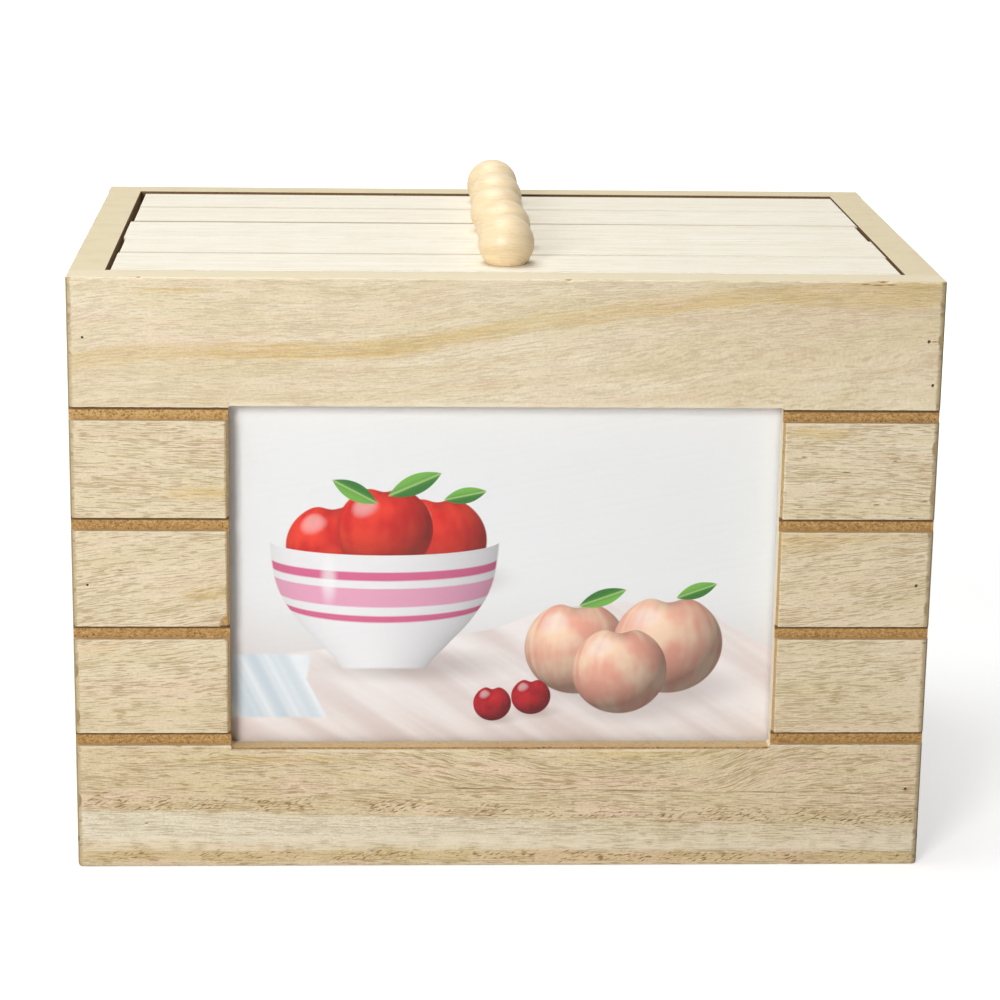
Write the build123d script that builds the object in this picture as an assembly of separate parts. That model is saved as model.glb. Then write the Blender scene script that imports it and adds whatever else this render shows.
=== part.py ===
from build123d import *
import os

# A wooden box for storing photographs.  Four veneered fibreboard walls stand round a base board, and the
# front wall has a window that shows one print.  Five albums hang side by side in the box: each has a
# wooden header strip, flush with the walls' top edges, and a ball knob to lift it out by.
#
# Units are millimetres.  The origin is at the centre of the base, +X is to the right of a person who
# faces the window, -Y is towards that person, and +Z is up.

# ---------------------------------------------------------------- driving dimensions

# Case
CASE_WIDTH = 230.0
CASE_DEPTH = 150.0
CASE_HEIGHT = 163.0
CORE = 9.2                        # fibreboard of the four walls
VENEER = 0.4                      # wood veneer on each wall's outer face
WALL = CORE + VENEER
BASE = 6.0                        # base board, let in between the walls
EASED = 0.5                       # sanded radius of the outer edges
UPRIGHT_EASED = 1.6               # of the front wall's upright edges, sanded through the veneer
FOOT_CORNER = 1.2                 # rounding of the front and back wall's lower corners, seen from the front

# Front wall: picture window and milled grooves
WINDOW_WIDTH = 146.6
WINDOW_HEIGHT = 94.9
WINDOW_SILL = 33.9                # height of the window's lower edge
WINDOW_CORNER = 0.8               # squared with a chisel, almost sharp
SIDE_SLOPE = 0.9                  # sanded slope on the window's side edges, along the face ...
SILL_SLOPE = 0.45                 # ... and on its lower edge ...
SLOPE_DEPTH = 1.2                 # ... and into the wall, through the veneer
GROOVE_TOP = 128.4                # upper edge of the highest groove
GROOVE_PITCH = 30.0
GROOVE_HEIGHT = 3.6
GROOVE_DEPTH = 2.0
GROOVES = 4

# Picture: print, clear pane and backing board in a pocket behind the window
PRINT_WIDTH = 152.4
PRINT_HEIGHT = 101.6
PRINT_THICK = 0.25
PANE_THICK = 1.2
BACKING_THICK = 2.0
POCKET_PLAY = 1.0                 # pocket larger all round than the print
POCKET_CORNER = 1.5
LAYER_PLAY = 0.5                  # pane and backing board smaller all round than the pocket
TURN_LENGTH = 22.0
TURN_WIDTH = 7.0
TURN_THICK = 0.8
TURN_X = 45.0                     # of the pivots, each side of the centre
TURN_FROM_POCKET = 6.0            # pivot to the pocket's edge

# Albums
ALBUMS = 5
ALBUM_FRONT = 10.9                # outer front face of the case to the first header
ALBUM_PITCH = 25.1
HEADER_WIDTH = 24.8
HEADER_LENGTH = 208.6
HEADER_THICK = 10.0
HEADER_EASED = 0.4
TONGUE_WIDTH = 17.0               # lower half of the header, between the covers
TONGUE_DEPTH = 8.0
COVER_LENGTH = 204.0
COVER_THICK = 2.0
COVER_CORNER = 4.0
FLOOR_GAP = 0.2                   # under the covers
CREASE_DROP = 14.0                # cover hinge line, below the tongue
CREASE_WIDTH = 1.6
CREASE_DEPTH = 0.7
LEAVES = 28
LEAF_PITCH = 0.6
LEAF_THICK = 0.5
LEAF_LENGTH = 196.0
LEAF_HEIGHT = 136.0
LEAF_CORNER = 2.0
ALBUM_SHIFT = (0.2, 0.55, -0.1, 0.75, 0.7)    # how far each album stands off centre, front to rear

# Knobs
BALL_RADIUS = 7.5
BALL_SEAT = 5.5                   # ball centre above the header

# Fasteners
BRAD_RADIUS = 0.5
BRAD_LENGTH = 25.0
BRAD_SUNK = 0.8                   # head below the surface
BRAD_X = 110.8                    # brads that hold front and back wall to the side walls
FRONT_BRAD_HEIGHTS = (22.0, 80.0, 147.0)
BACK_BRAD_HEIGHTS = (21.0, 82.0, 141.0)
SECOND_TRY_BRAD = (112.4, 135.2)  # one more beside the upper right brad
BASE_BRAD_DEPTHS = (-40.0, 0.0, 40.0)
KNOB_SCREW_RADIUS = 1.75
KNOB_SCREW_HEAD_RADIUS = 3.4
KNOB_SCREW_HEAD = 2.2
KNOB_SCREW_LENGTH = 27.0
TURN_SCREW_RADIUS = 1.2
TURN_SCREW_HEAD_RADIUS = 2.6
TURN_SCREW_HEAD = 0.9
TURN_SCREW_LENGTH = 7.5
POST_X = 60.0                     # screw posts that bind covers and leaves
POST_DROP = 6.0                   # below the tongue
POST_RADIUS = 2.5
POST_HEAD_RADIUS = 4.5
POST_HEAD = 0.8
POST_HOLE_PLAY = 0.15
DRIVER_SLOT = 0.8                 # width of the slot in each screw head
HOLE_PLAY = 0.02                  # round brads and screw shanks

# ---------------------------------------------------------------- levels worked out from them

HALF_WIDTH = CASE_WIDTH / 2
FRONT = -CASE_DEPTH / 2
BACK = CASE_DEPTH / 2
INSIDE_X = HALF_WIDTH - WALL
WINDOW_MIDDLE = WINDOW_SILL + WINDOW_HEIGHT / 2
POCKET_WIDTH = PRINT_WIDTH + 2 * POCKET_PLAY
POCKET_HEIGHT = PRINT_HEIGHT + 2 * POCKET_PLAY
POCKET_DEPTH = PANE_THICK + PRINT_THICK + BACKING_THICK
POCKET_FRONT = FRONT + WALL - POCKET_DEPTH
TURN_FACE = FRONT + WALL
TURN_HEIGHTS = (
    WINDOW_MIDDLE - POCKET_HEIGHT / 2 - TURN_FROM_POCKET,
    WINDOW_MIDDLE + POCKET_HEIGHT / 2 + TURN_FROM_POCKET,
)
HEADER_BOTTOM = CASE_HEIGHT - HEADER_THICK
TONGUE_BOTTOM = HEADER_BOTTOM - TONGUE_DEPTH
COVER_BOTTOM = BASE + FLOOR_GAP
LEAF_TOP = TONGUE_BOTTOM - 0.5
POST_HEIGHT = TONGUE_BOTTOM - POST_DROP
COVERED_HALF = TONGUE_WIDTH / 2 + COVER_THICK

# ---------------------------------------------------------------- helpers


def block(x0, x1, y0, y1, z0, z1):
    """A rectangular block between two opposite corners."""
    size = (x1 - x0, y1 - y0, z1 - z0)
    return Location((x0, y0, z0)) * Box(*size, align=(Align.MIN, Align.MIN, Align.MIN))


def upright_slab(outline, y0, y1, height):
    """A flat outline stood upright across the box, centred at a height, from y0 back to y1."""
    sketch = Plane.XZ.offset(-y1) * Pos(0, height) * outline
    return extrude(sketch, amount=y1 - y0)


def rod_y(x, z, radius, y0, y1):
    """A round rod along Y."""
    return Location((x, y1, z), (90, 0, 0)) * Cylinder(
        radius, y1 - y0, align=(Align.CENTER, Align.CENTER, Align.MIN)
    )


def rod_x(y, z, radius, x0, x1):
    """A round rod along X."""
    return Location((x0, y, z), (0, 90, 0)) * Cylinder(
        radius, x1 - x0, align=(Align.CENTER, Align.CENTER, Align.MIN)
    )


def round_foot_corners(board):
    """Front or back wall with its two lower corners rounded, as seen from the front."""
    outline = Rectangle(CASE_WIDTH, CASE_HEIGHT)
    outline = fillet(outline.vertices().group_by(Axis.Y)[0], FOOT_CORNER)
    return board & upright_slab(outline, FRONT, BACK, CASE_HEIGHT / 2)


def save(shape, name):
    """Write one piece of the box."""
    shape.label = name
    export_step(shape, f"parts/{name}.step")


def save_group(solids, name):
    """Write several separate solids that share one name."""
    save(Compound(children=list(solids)), name)


# ---------------------------------------------------------------- brads


def front_brad_places():
    """Where the front wall is nailed to the side walls, as (x, z)."""
    pairs = [(side * BRAD_X, z) for z in FRONT_BRAD_HEIGHTS for side in (-1, 1)]
    return pairs + [SECOND_TRY_BRAD]


def front_brads(play=0.0):
    """Headless brads through the front wall, or their holes when there is play."""
    start = FRONT - 1 if play else FRONT + BRAD_SUNK
    end = FRONT + BRAD_SUNK + BRAD_LENGTH + play
    return [rod_y(x, z, BRAD_RADIUS + play, start, end) for x, z in front_brad_places()]


def back_brads(play=0.0):
    """Headless brads through the back wall, or their holes when there is play."""
    start = BACK - BRAD_SUNK - BRAD_LENGTH - play
    end = BACK + 1 if play else BACK - BRAD_SUNK
    places = [(side * BRAD_X, z) for z in BACK_BRAD_HEIGHTS for side in (-1, 1)]
    return [rod_y(x, z, BRAD_RADIUS + play, start, end) for x, z in places]


def base_brads(side, play=0.0):
    """Brads through one side wall into the base board, or their holes when there is play."""
    outer = HALF_WIDTH + 1 if play else HALF_WIDTH - BRAD_SUNK
    inner = HALF_WIDTH - BRAD_SUNK - BRAD_LENGTH - play
    ends = sorted((side * inner, side * outer))
    return [rod_x(y, BASE / 2, BRAD_RADIUS + play, *ends) for y in BASE_BRAD_DEPTHS]


# ---------------------------------------------------------------- front wall


def window_slopes():
    """What sanding takes off the short boards' ends at the window and off the window's lower edge."""
    half, depth = WINDOW_WIDTH / 2, FRONT + SLOPE_DEPTH
    low = GROOVE_TOP - (GROOVES - 1) * GROOVE_PITCH - GROOVE_HEIGHT
    slopes = []
    for side in (-1, 1):
        end = Polyline(
            (side * half, FRONT),
            (side * (half + SIDE_SLOPE), FRONT),
            (side * half, depth),
            close=True,
        )
        slopes.append(Pos(0, 0, low) * extrude(make_face(end), amount=GROOVE_TOP - low, dir=(0, 0, 1)))
    sill = Polyline(
        (FRONT, WINDOW_SILL),
        (FRONT, WINDOW_SILL - SILL_SLOPE),
        (depth, WINDOW_SILL),
        close=True,
    )
    sketch = Plane.YZ.offset(-half) * make_face(sill)
    return slopes + [extrude(sketch, amount=WINDOW_WIDTH, dir=(1, 0, 0))]


def front_board():
    """The front wall before it is told apart into fibreboard and veneer."""
    board = block(-HALF_WIDTH, HALF_WIDTH, FRONT, FRONT + WALL, 0, CASE_HEIGHT)
    board = fillet(board.faces().sort_by(Axis.Y)[0].edges().filter_by(Axis.Z), UPRIGHT_EASED)
    board = fillet(board.faces().sort_by(Axis.Y)[0].edges().filter_by(Axis.X), EASED)
    board = round_foot_corners(board)
    opening = RectangleRounded(WINDOW_WIDTH, WINDOW_HEIGHT, WINDOW_CORNER)
    board -= upright_slab(opening, FRONT - 1, FRONT + WALL + 1, WINDOW_MIDDLE)
    for slope in window_slopes():
        board -= slope
    pocket = RectangleRounded(POCKET_WIDTH, POCKET_HEIGHT, POCKET_CORNER)
    board -= upright_slab(pocket, POCKET_FRONT, FRONT + WALL + 1, WINDOW_MIDDLE)
    for row in range(GROOVES):
        top = GROOVE_TOP - row * GROOVE_PITCH
        edge = HALF_WIDTH + 1
        board -= block(-edge, edge, FRONT - 1, FRONT + GROOVE_DEPTH, top - GROOVE_HEIGHT, top)
    board -= front_brads(HOLE_PLAY)
    return board


def front_panel(board):
    """Fibreboard of the front wall, with pilot holes for the turn button screws."""
    core = board - block(-HALF_WIDTH, HALF_WIDTH, FRONT - 1, FRONT + VENEER, 0, CASE_HEIGHT)
    bottom = TURN_FACE + TURN_THICK - TURN_SCREW_LENGTH
    for x, z in turn_places():
        core -= rod_y(x, z, TURN_SCREW_RADIUS, bottom, TURN_FACE + 1)
    return core


def front_veneers(board):
    """The veneer that the grooves and the window leave, sorted into the pieces it falls into."""
    sheet = board & block(-HALF_WIDTH, HALF_WIDTH, FRONT, FRONT + VENEER, 0, CASE_HEIGHT)
    pieces = sheet.solids().sort_by(Axis.Z)
    between = pieces[1:-1]
    return {
        "front_veneer_bottom": pieces[:1],
        "front_veneer_top": pieces[-1:],
        "front_veneer_left": [piece for piece in between if piece.center().X < 0],
        "front_veneer_right": [piece for piece in between if piece.center().X > 0],
    }


# ---------------------------------------------------------------- the other walls and the base


def side_board(side):
    """A side wall, between the front and the back wall, with its outer top and bottom edge eased."""
    inner, outer = sorted((side * INSIDE_X, side * HALF_WIDTH))
    board = block(inner, outer, FRONT + WALL, BACK - WALL, 0, CASE_HEIGHT)
    outer_face = board.faces().sort_by(Axis.X)[-1 if side > 0 else 0]
    board = fillet(outer_face.edges().filter_by(Axis.Y), EASED)
    board -= front_brads(HOLE_PLAY)
    board -= back_brads(HOLE_PLAY)
    board -= base_brads(side, HOLE_PLAY)
    return board


def side_core(board, side):
    """Fibreboard of a side wall."""
    outer, skin = side * (HALF_WIDTH + 1), side * (HALF_WIDTH - VENEER)
    return board - block(*sorted((outer, skin)), FRONT, BACK, 0, CASE_HEIGHT)


def side_veneer(board, side):
    """Veneer of a side wall."""
    outer, skin = side * (HALF_WIDTH + 1), side * (HALF_WIDTH - VENEER)
    return board & block(*sorted((outer, skin)), FRONT, BACK, 0, CASE_HEIGHT)


def back_board():
    """The back wall, as wide as the box."""
    board = block(-HALF_WIDTH, HALF_WIDTH, BACK - WALL, BACK, 0, CASE_HEIGHT)
    board = fillet(board.faces().sort_by(Axis.Y)[-1].edges(), EASED)
    board = round_foot_corners(board)
    board -= back_brads(HOLE_PLAY)
    return board


def back_core(board):
    """Fibreboard of the back wall."""
    return board - block(-HALF_WIDTH, HALF_WIDTH, BACK - VENEER, BACK + 1, 0, CASE_HEIGHT)


def back_veneer(board):
    """Veneer of the back wall."""
    return board & block(-HALF_WIDTH, HALF_WIDTH, BACK - VENEER, BACK + 1, 0, CASE_HEIGHT)


def base_panel():
    """The base board, flush with the walls' lower edges."""
    board = block(-INSIDE_X, INSIDE_X, FRONT + WALL, BACK - WALL, 0, BASE)
    for side in (-1, 1):
        board -= base_brads(side, HOLE_PLAY)
    return board


# ---------------------------------------------------------------- picture behind the window


def turn_places():
    """Pivots of the turn buttons, as (x, z)."""
    return [(side * TURN_X, z) for z in TURN_HEIGHTS for side in (-1, 1)]


def picture_layer(play, y0, thickness):
    """One flat layer of the picture, smaller than the pocket by the play all round."""
    outline = Rectangle(POCKET_WIDTH - 2 * play, POCKET_HEIGHT - 2 * play)
    return upright_slab(outline, y0, y0 + thickness, WINDOW_MIDDLE)


def turn_button(x, z):
    """A small steel bar that turns about its middle, here upright across the pocket's edge."""
    outline = SlotOverall(TURN_LENGTH, TURN_WIDTH, rotation=90)
    bar = Location((x, 0, 0)) * upright_slab(outline, TURN_FACE, TURN_FACE + TURN_THICK, z)
    return bar - rod_y(x, z, TURN_SCREW_RADIUS + 0.05, TURN_FACE - 1, TURN_FACE + TURN_THICK + 1)


def turn_button_screw(x, z):
    """The pan-head screw that a turn button pivots on."""
    head_face = TURN_FACE + TURN_THICK + 0.05
    tip = TURN_FACE + TURN_THICK - TURN_SCREW_LENGTH
    screw = rod_y(x, z, TURN_SCREW_RADIUS, tip, head_face)
    head = rod_y(x, z, TURN_SCREW_HEAD_RADIUS, head_face, head_face + TURN_SCREW_HEAD)
    head = fillet(head.faces().sort_by(Axis.Y)[-1].edges(), TURN_SCREW_HEAD / 3)
    slot = block(
        x - TURN_SCREW_HEAD_RADIUS,
        x + TURN_SCREW_HEAD_RADIUS,
        head_face + TURN_SCREW_HEAD / 2,
        head_face + TURN_SCREW_HEAD + 1,
        z - DRIVER_SLOT / 2,
        z + DRIVER_SLOT / 2,
    )
    return screw + head - slot


# ---------------------------------------------------------------- albums


def album_middle(number):
    """Centre of an album, counted from 1 at the window, as (x, y)."""
    first = FRONT + ALBUM_FRONT + HEADER_WIDTH / 2
    return ALBUM_SHIFT[number - 1], first + (number - 1) * ALBUM_PITCH


def header():
    """Header strip: a flat top flush with the walls and a tongue that the covers are glued to."""
    half_width = HEADER_WIDTH / 2
    half_length = HEADER_LENGTH / 2
    strip = block(-half_length, half_length, -half_width, half_width, HEADER_BOTTOM, CASE_HEIGHT)
    strip = fillet(strip.faces().sort_by(Axis.Z)[-1].edges(), HEADER_EASED)
    half_tongue = TONGUE_WIDTH / 2
    half_cover = COVER_LENGTH / 2
    strip += block(-half_cover, half_cover, -half_tongue, half_tongue, TONGUE_BOTTOM, HEADER_BOTTOM)
    return strip - knob_screw_space()


def knob():
    """Turned ball with a flat seat and a blind bore for its screw."""
    ball = Location((0, 0, CASE_HEIGHT + BALL_SEAT)) * Sphere(BALL_RADIUS)
    side = 2 * BALL_RADIUS
    ball -= block(-side, side, -side, side, CASE_HEIGHT - side, CASE_HEIGHT)
    return ball - knob_screw_space()


def knob_screw_outline(play):
    """Half outline of the knob's countersunk screw, head down, in the XZ plane."""
    shank = KNOB_SCREW_RADIUS + play
    head = KNOB_SCREW_HEAD_RADIUS + play
    tip = TONGUE_BOTTOM + KNOB_SCREW_LENGTH + play
    return make_face(
        Polyline(
            (0, TONGUE_BOTTOM),
            (head, TONGUE_BOTTOM),
            (shank, TONGUE_BOTTOM + KNOB_SCREW_HEAD),
            (shank, tip),
            (0, tip),
            close=True,
        )
    )


def knob_screw_space():
    """The countersunk hole that the knob's screw fills."""
    return revolve(Plane.XZ * knob_screw_outline(HOLE_PLAY), Axis.Z)


def knob_screw():
    """Countersunk screw, driven up through the header into the knob."""
    screw = revolve(Plane.XZ * knob_screw_outline(0), Axis.Z)
    reach = 2 * KNOB_SCREW_HEAD_RADIUS
    half_slot = DRIVER_SLOT / 2
    floor = TONGUE_BOTTOM + KNOB_SCREW_HEAD / 2
    return screw - block(-reach, reach, -half_slot, half_slot, TONGUE_BOTTOM - 1, floor)


def post_holes(y0, y1):
    """Holes for the screw posts through one layer of an album."""
    radius = POST_RADIUS + POST_HOLE_PLAY
    return [rod_y(side * POST_X, POST_HEIGHT, radius, y0 - 1, y1 + 1) for side in (-1, 1)]


def cover(side):
    """Cover board, on the window's side of an album (-1) or behind it (1), with its hinge crease."""
    y0, y1 = sorted((side * TONGUE_WIDTH / 2, side * COVERED_HALF))
    board = block(-COVER_LENGTH / 2, COVER_LENGTH / 2, y0, y1, COVER_BOTTOM, HEADER_BOTTOM)
    lower_corners = board.edges().filter_by(Axis.Y).group_by(Axis.Z)[0]
    board = fillet(lower_corners, COVER_CORNER)
    crease_middle = TONGUE_BOTTOM - CREASE_DROP
    outer = side * COVERED_HALF
    crease_y = sorted((outer + side, outer - side * CREASE_DEPTH))
    half_crease = CREASE_WIDTH / 2
    half_length = COVER_LENGTH / 2 + 1
    crease_z = (crease_middle - half_crease, crease_middle + half_crease)
    board -= block(-half_length, half_length, *crease_y, *crease_z)
    return board - post_holes(y0, y1)


def leaves():
    """Clear pocket leaves with their prints, bound under the tongue."""
    outline = RectangleRounded(LEAF_LENGTH, LEAF_HEIGHT, LEAF_CORNER)
    sheets = []
    for count in range(LEAVES):
        middle = (count - (LEAVES - 1) / 2) * LEAF_PITCH
        y0, y1 = middle - LEAF_THICK / 2, middle + LEAF_THICK / 2
        sheet = upright_slab(outline, y0, y1, LEAF_TOP - LEAF_HEIGHT / 2)
        sheets.append(sheet - post_holes(y0, y1))
    return sheets


def post(side):
    """A binding screw post: a barrel with a flat head at each end, the rear head slotted."""
    x = side * POST_X
    body = rod_y(x, POST_HEIGHT, POST_RADIUS, -COVERED_HALF, COVERED_HALF)
    for face in (-COVERED_HALF - POST_HEAD, COVERED_HALF):
        head = rod_y(x, POST_HEIGHT, POST_HEAD_RADIUS, face, face + POST_HEAD)
        body += head
    half_slot = DRIVER_SLOT / 2
    slot_y = (COVERED_HALF + POST_HEAD / 2, COVERED_HALF + POST_HEAD + 1)
    reach = POST_HEAD_RADIUS + 1
    slot = block(x - reach, x + reach, *slot_y, POST_HEIGHT - half_slot, POST_HEIGHT + half_slot)
    return body - slot


def album():
    """The pieces of one album about its own middle, by name."""
    return {
        "header": [header()],
        "knob": [knob()],
        "knob_screw": [knob_screw()],
        "front_cover": [cover(-1)],
        "back_cover": [cover(1)],
        "leaves": leaves(),
        "posts": [post(side) for side in (-1, 1)],
    }


# ---------------------------------------------------------------- the whole box


def make_case():
    """Walls, veneers, base board and their brads."""
    board = front_board()
    save(front_panel(board), "front_panel")
    for name, pieces in front_veneers(board).items():
        save_group(pieces, name)
    for side, word in ((-1, "left"), (1, "right")):
        board = side_board(side)
        save(side_core(board, side), f"{word}_panel")
        save(side_veneer(board, side), f"{word}_veneer")
    board = back_board()
    save(back_core(board), "back_panel")
    save(back_veneer(board), "back_veneer")
    save(base_panel(), "base_panel")
    save_group(front_brads(), "front_brads")
    save_group(back_brads(), "back_brads")
    save_group(base_brads(-1) + base_brads(1), "base_brads")


def make_picture():
    """Pane, print, backing board and the turn buttons that hold them."""
    print_front = POCKET_FRONT + PANE_THICK
    save(picture_layer(LAYER_PLAY, POCKET_FRONT, PANE_THICK), "clear_pane")
    save(picture_layer(POCKET_PLAY, print_front, PRINT_THICK), "window_print")
    save(picture_layer(LAYER_PLAY, print_front + PRINT_THICK, BACKING_THICK), "backing_board")
    for number, (x, z) in enumerate(turn_places(), start=1):
        save(turn_button(x, z), f"turn_button_{number}")
    save_group([turn_button_screw(x, z) for x, z in turn_places()], "turn_button_screws")


def make_albums():
    """Five equal albums, one behind the other."""
    pieces = album()
    for number in range(1, ALBUMS + 1):
        x, y = album_middle(number)
        for word, solids in pieces.items():
            placed = [Location((x, y, 0)) * solid for solid in solids]
            save_group(placed, f"album_{number}_{word}")


os.makedirs("parts", exist_ok=True)
make_case()
make_picture()
make_albums()
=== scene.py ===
# %% [markdown]
# # A wooden box for photo albums
#
# Four veneered fibreboard walls stand round a base board.  The front wall has four milled grooves and a
# window with one print behind it.  Five albums hang in the box: each has a wooden header strip, flush
# with the walls' top edges, and a turned ball knob to lift it out by.
#
# The joiner's model already has every part at its real size and place, so it is loaded first and never
# changed.  This notebook then gives each part its finish, and makes a second, more detailed mesh where
# the look needs more shape: the ragged veneer of the front wall, the knobs and the leaves.

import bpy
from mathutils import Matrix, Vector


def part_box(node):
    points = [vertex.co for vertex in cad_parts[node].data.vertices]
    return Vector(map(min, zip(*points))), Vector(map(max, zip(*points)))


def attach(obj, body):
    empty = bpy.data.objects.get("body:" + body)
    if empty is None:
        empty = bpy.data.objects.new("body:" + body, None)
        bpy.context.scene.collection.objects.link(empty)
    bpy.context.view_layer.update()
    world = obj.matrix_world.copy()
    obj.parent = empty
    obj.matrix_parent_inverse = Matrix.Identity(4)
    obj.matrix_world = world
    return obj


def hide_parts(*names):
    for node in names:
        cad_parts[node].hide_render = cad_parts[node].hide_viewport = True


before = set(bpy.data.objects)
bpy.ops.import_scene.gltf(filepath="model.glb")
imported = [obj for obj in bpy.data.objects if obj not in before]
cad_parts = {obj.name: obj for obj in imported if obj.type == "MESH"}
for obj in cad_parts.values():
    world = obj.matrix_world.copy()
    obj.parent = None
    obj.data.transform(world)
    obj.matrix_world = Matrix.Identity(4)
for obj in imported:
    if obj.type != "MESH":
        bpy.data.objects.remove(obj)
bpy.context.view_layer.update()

# %% What else the notebook uses
import math
import random

import bmesh
import bpy
from mathutils import Matrix, Vector
from mathutils.geometry import delaunay_2d_cdt

MM = 0.001                        # this notebook thinks in millimetres, Blender in metres
BODY = "case"                     # the body that the walls and all that is fixed to them belong to


def put_in_scene(name, data):
    """A new object of this data, in the scene."""
    thing = bpy.data.objects.new(name, data)
    bpy.context.scene.collection.objects.link(thing)
    return thing


print("one millimetre:", MM, "m")

# %% [markdown]
# ## The camera
#
# The view is the photograph's: a little to the left of the middle and looking down by 15 degrees, from
# 0.83 m away.  The place and the turns were found from the box's own corners, so the camera is given
# as a place and three turns, and needs no shift.

# %% Set up the camera
IMAGE_SIZE = 1000                 # the photograph's width and height in pixels
FOCAL_LENGTH_PIXELS = 2961.2
SENSOR_WIDTH = 36.0
CAMERA_PLACE = Vector((-39.1, -832.4, 305.5)) * MM
CAMERA_DOWN = 14.907              # degrees
CAMERA_ASIDE = -2.836
CAMERA_ROLL = 0.886

lens = bpy.data.cameras.new("camera")
lens.sensor_width = SENSOR_WIDTH
lens.lens = FOCAL_LENGTH_PIXELS / IMAGE_SIZE * SENSOR_WIDTH
lens.clip_start = 0.01
camera = put_in_scene("camera", lens)
camera.matrix_world = (
    Matrix.Translation(CAMERA_PLACE)
    @ Matrix.Rotation(math.radians(CAMERA_ASIDE), 4, "Z")
    @ Matrix.Rotation(math.radians(90 - CAMERA_DOWN), 4, "X")
    @ Matrix.Rotation(math.radians(CAMERA_ROLL), 4, "Z")
)
bpy.context.scene.camera = camera
bpy.context.scene.view_settings.view_transform = "Standard"
print("lens:", round(lens.lens, 1), "mm")

# %% [markdown]
# ## Wiring up a finish
#
# A finish is a tree of nodes.  Written out node by node it would hide the idea, so a few helpers add a
# node, feed its inputs and hand back what comes out of it, as a value that can stand in sums: a * 2 + 1
# adds the nodes that work it out.  Only one tree is wired at a time, and the helpers put their nodes into
# the tree that was started last.

# %% Values, and helpers that add nodes
bench = {"tree": None}            # the tree that is being wired


class Value:
    """What comes out of a node.  A sum on it adds the nodes that work the sum out."""

    def __init__(self, socket):
        self.socket = socket

    def __add__(self, other):
        return calc("ADD", self, other)

    def __sub__(self, other):
        return calc("SUBTRACT", self, other)

    def __rsub__(self, other):
        return calc("SUBTRACT", other, self)

    def __mul__(self, other):
        return calc("MULTIPLY", self, other)

    def __truediv__(self, other):
        return calc("DIVIDE", self, other)

    def __gt__(self, other):
        return calc("GREATER_THAN", self, other)

    def __lt__(self, other):
        return calc("LESS_THAN", self, other)

    def __abs__(self):
        return calc("ABSOLUTE", self)

    __radd__ = __add__
    __rmul__ = __mul__


def start_wiring(tree):
    """Put the nodes that come next into this tree."""
    bench["tree"] = tree


def feed(socket, value):
    """Join a socket to a value, or set the number or colour that it holds."""
    if isinstance(value, Value):
        bench["tree"].links.new(value.socket, socket)
    else:
        socket.default_value = value


def add_node(kind, inputs=None, **settings):
    """Add one node, set it up and feed its inputs."""
    node = bench["tree"].nodes.new(kind)
    for name, value in settings.items():
        setattr(node, name, value)
    for socket, value in (inputs or {}).items():
        feed(node.inputs[socket], value)
    return node


def add(kind, inputs=None, out=0, **settings):
    """Add one node and hand back one value that comes out of it."""
    return Value(add_node(kind, inputs, **settings).outputs[out])


def by_name(node):
    """All that comes out of a node, by name."""
    return {socket.name: Value(socket) for socket in node.outputs}


def calc(operation, first, second=0.0, third=0.0):
    """One sum on numbers."""
    return add("ShaderNodeMath", {0: first, 1: second, 2: third}, operation=operation)


print("wiring helpers ready")

# %% [markdown]
# Numbers and colours are mixed over and over again, so the common ways to mix them get short names.

# %% Mix numbers and colours


def step(value, start, end):
    """0 before start and 1 after end, with a smooth rise between them."""
    return add("ShaderNodeMapRange", {0: value, 1: start, 2: end}, interpolation_type="SMOOTHSTEP")


def pick(share, first, second):
    """The first number where share is 0, the second where it is 1."""
    return add("ShaderNodeMix", {0: share, 2: first, 3: second})


def tint(share, first, second, way="MIX"):
    """Lay the second colour over the first."""
    inputs = {0: share, 6: first, 7: second}
    return add("ShaderNodeMix", inputs, out=2, data_type="RGBA", blend_type=way)


def shaded(colour, light):
    """A colour made darker or lighter by a number."""
    return tint(1.0, colour, join(light, light, light), "MULTIPLY")


def join(x, y, z=0.0):
    """Make a place out of three numbers."""
    return add("ShaderNodeCombineXYZ", {0: x, 1: y, 2: z})


def split(place):
    """The three numbers of a place."""
    return list(by_name(add_node("ShaderNodeSeparateXYZ", {0: place})).values())


print("ways to mix: step, pick, tint, shaded, join, split")

# %% [markdown]
# Natural surfaces are made of clouds, scattered grains and slow curves.  Dividing a place by a size
# before it goes in stretches the clouds to that size.

# %% Clouds, grains and curves


def noise(x, y, z=0.0, detail=2.0, rough=0.5):
    """Cloudy values from 0 to 1, one cloud for each unit of x, y and z."""
    inputs = {"Vector": join(x, y, z), "Scale": 1.0, "Detail": detail, "Roughness": rough}
    return add("ShaderNodeTexNoise", inputs, out="Fac")


def grains(x, y, z):
    """Scattered points, one for each unit cell: distance to the nearest, and its random colour."""
    made = by_name(add_node("ShaderNodeTexVoronoi", {"Vector": join(x, y, z), "Scale": 1.0}))
    return made["Distance"], made["Color"]


def curve(value, points):
    """A smooth curve through points: give it a number, get the height of the curve there."""
    lows = [min(axis) for axis in zip(*points)]
    spans = [max(axis) - low for axis, low in zip(zip(*points), lows)]
    node = add_node("ShaderNodeFloatCurve", {"Value": (value - lows[0]) / spans[0]})
    line = node.mapping.curves[0]
    places = [((x - lows[0]) / spans[0], (y - lows[1]) / spans[1]) for x, y in points]
    line.points[0].location = places[0]
    line.points[1].location = places[-1]
    for place in places[1:-1]:
        line.points.new(*place)
    node.mapping.update()
    return Value(node.outputs[0]) * spans[1] + lows[1]


print("ways to vary: noise, grains, curve")

# %% [markdown]
# Last come whole trees: a group that several finishes share, and the finish itself.  A number that is the
# same all over a surface goes straight into the shader's own socket, and only what changes is wired.

# %% Colours, groups and finishes


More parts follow.
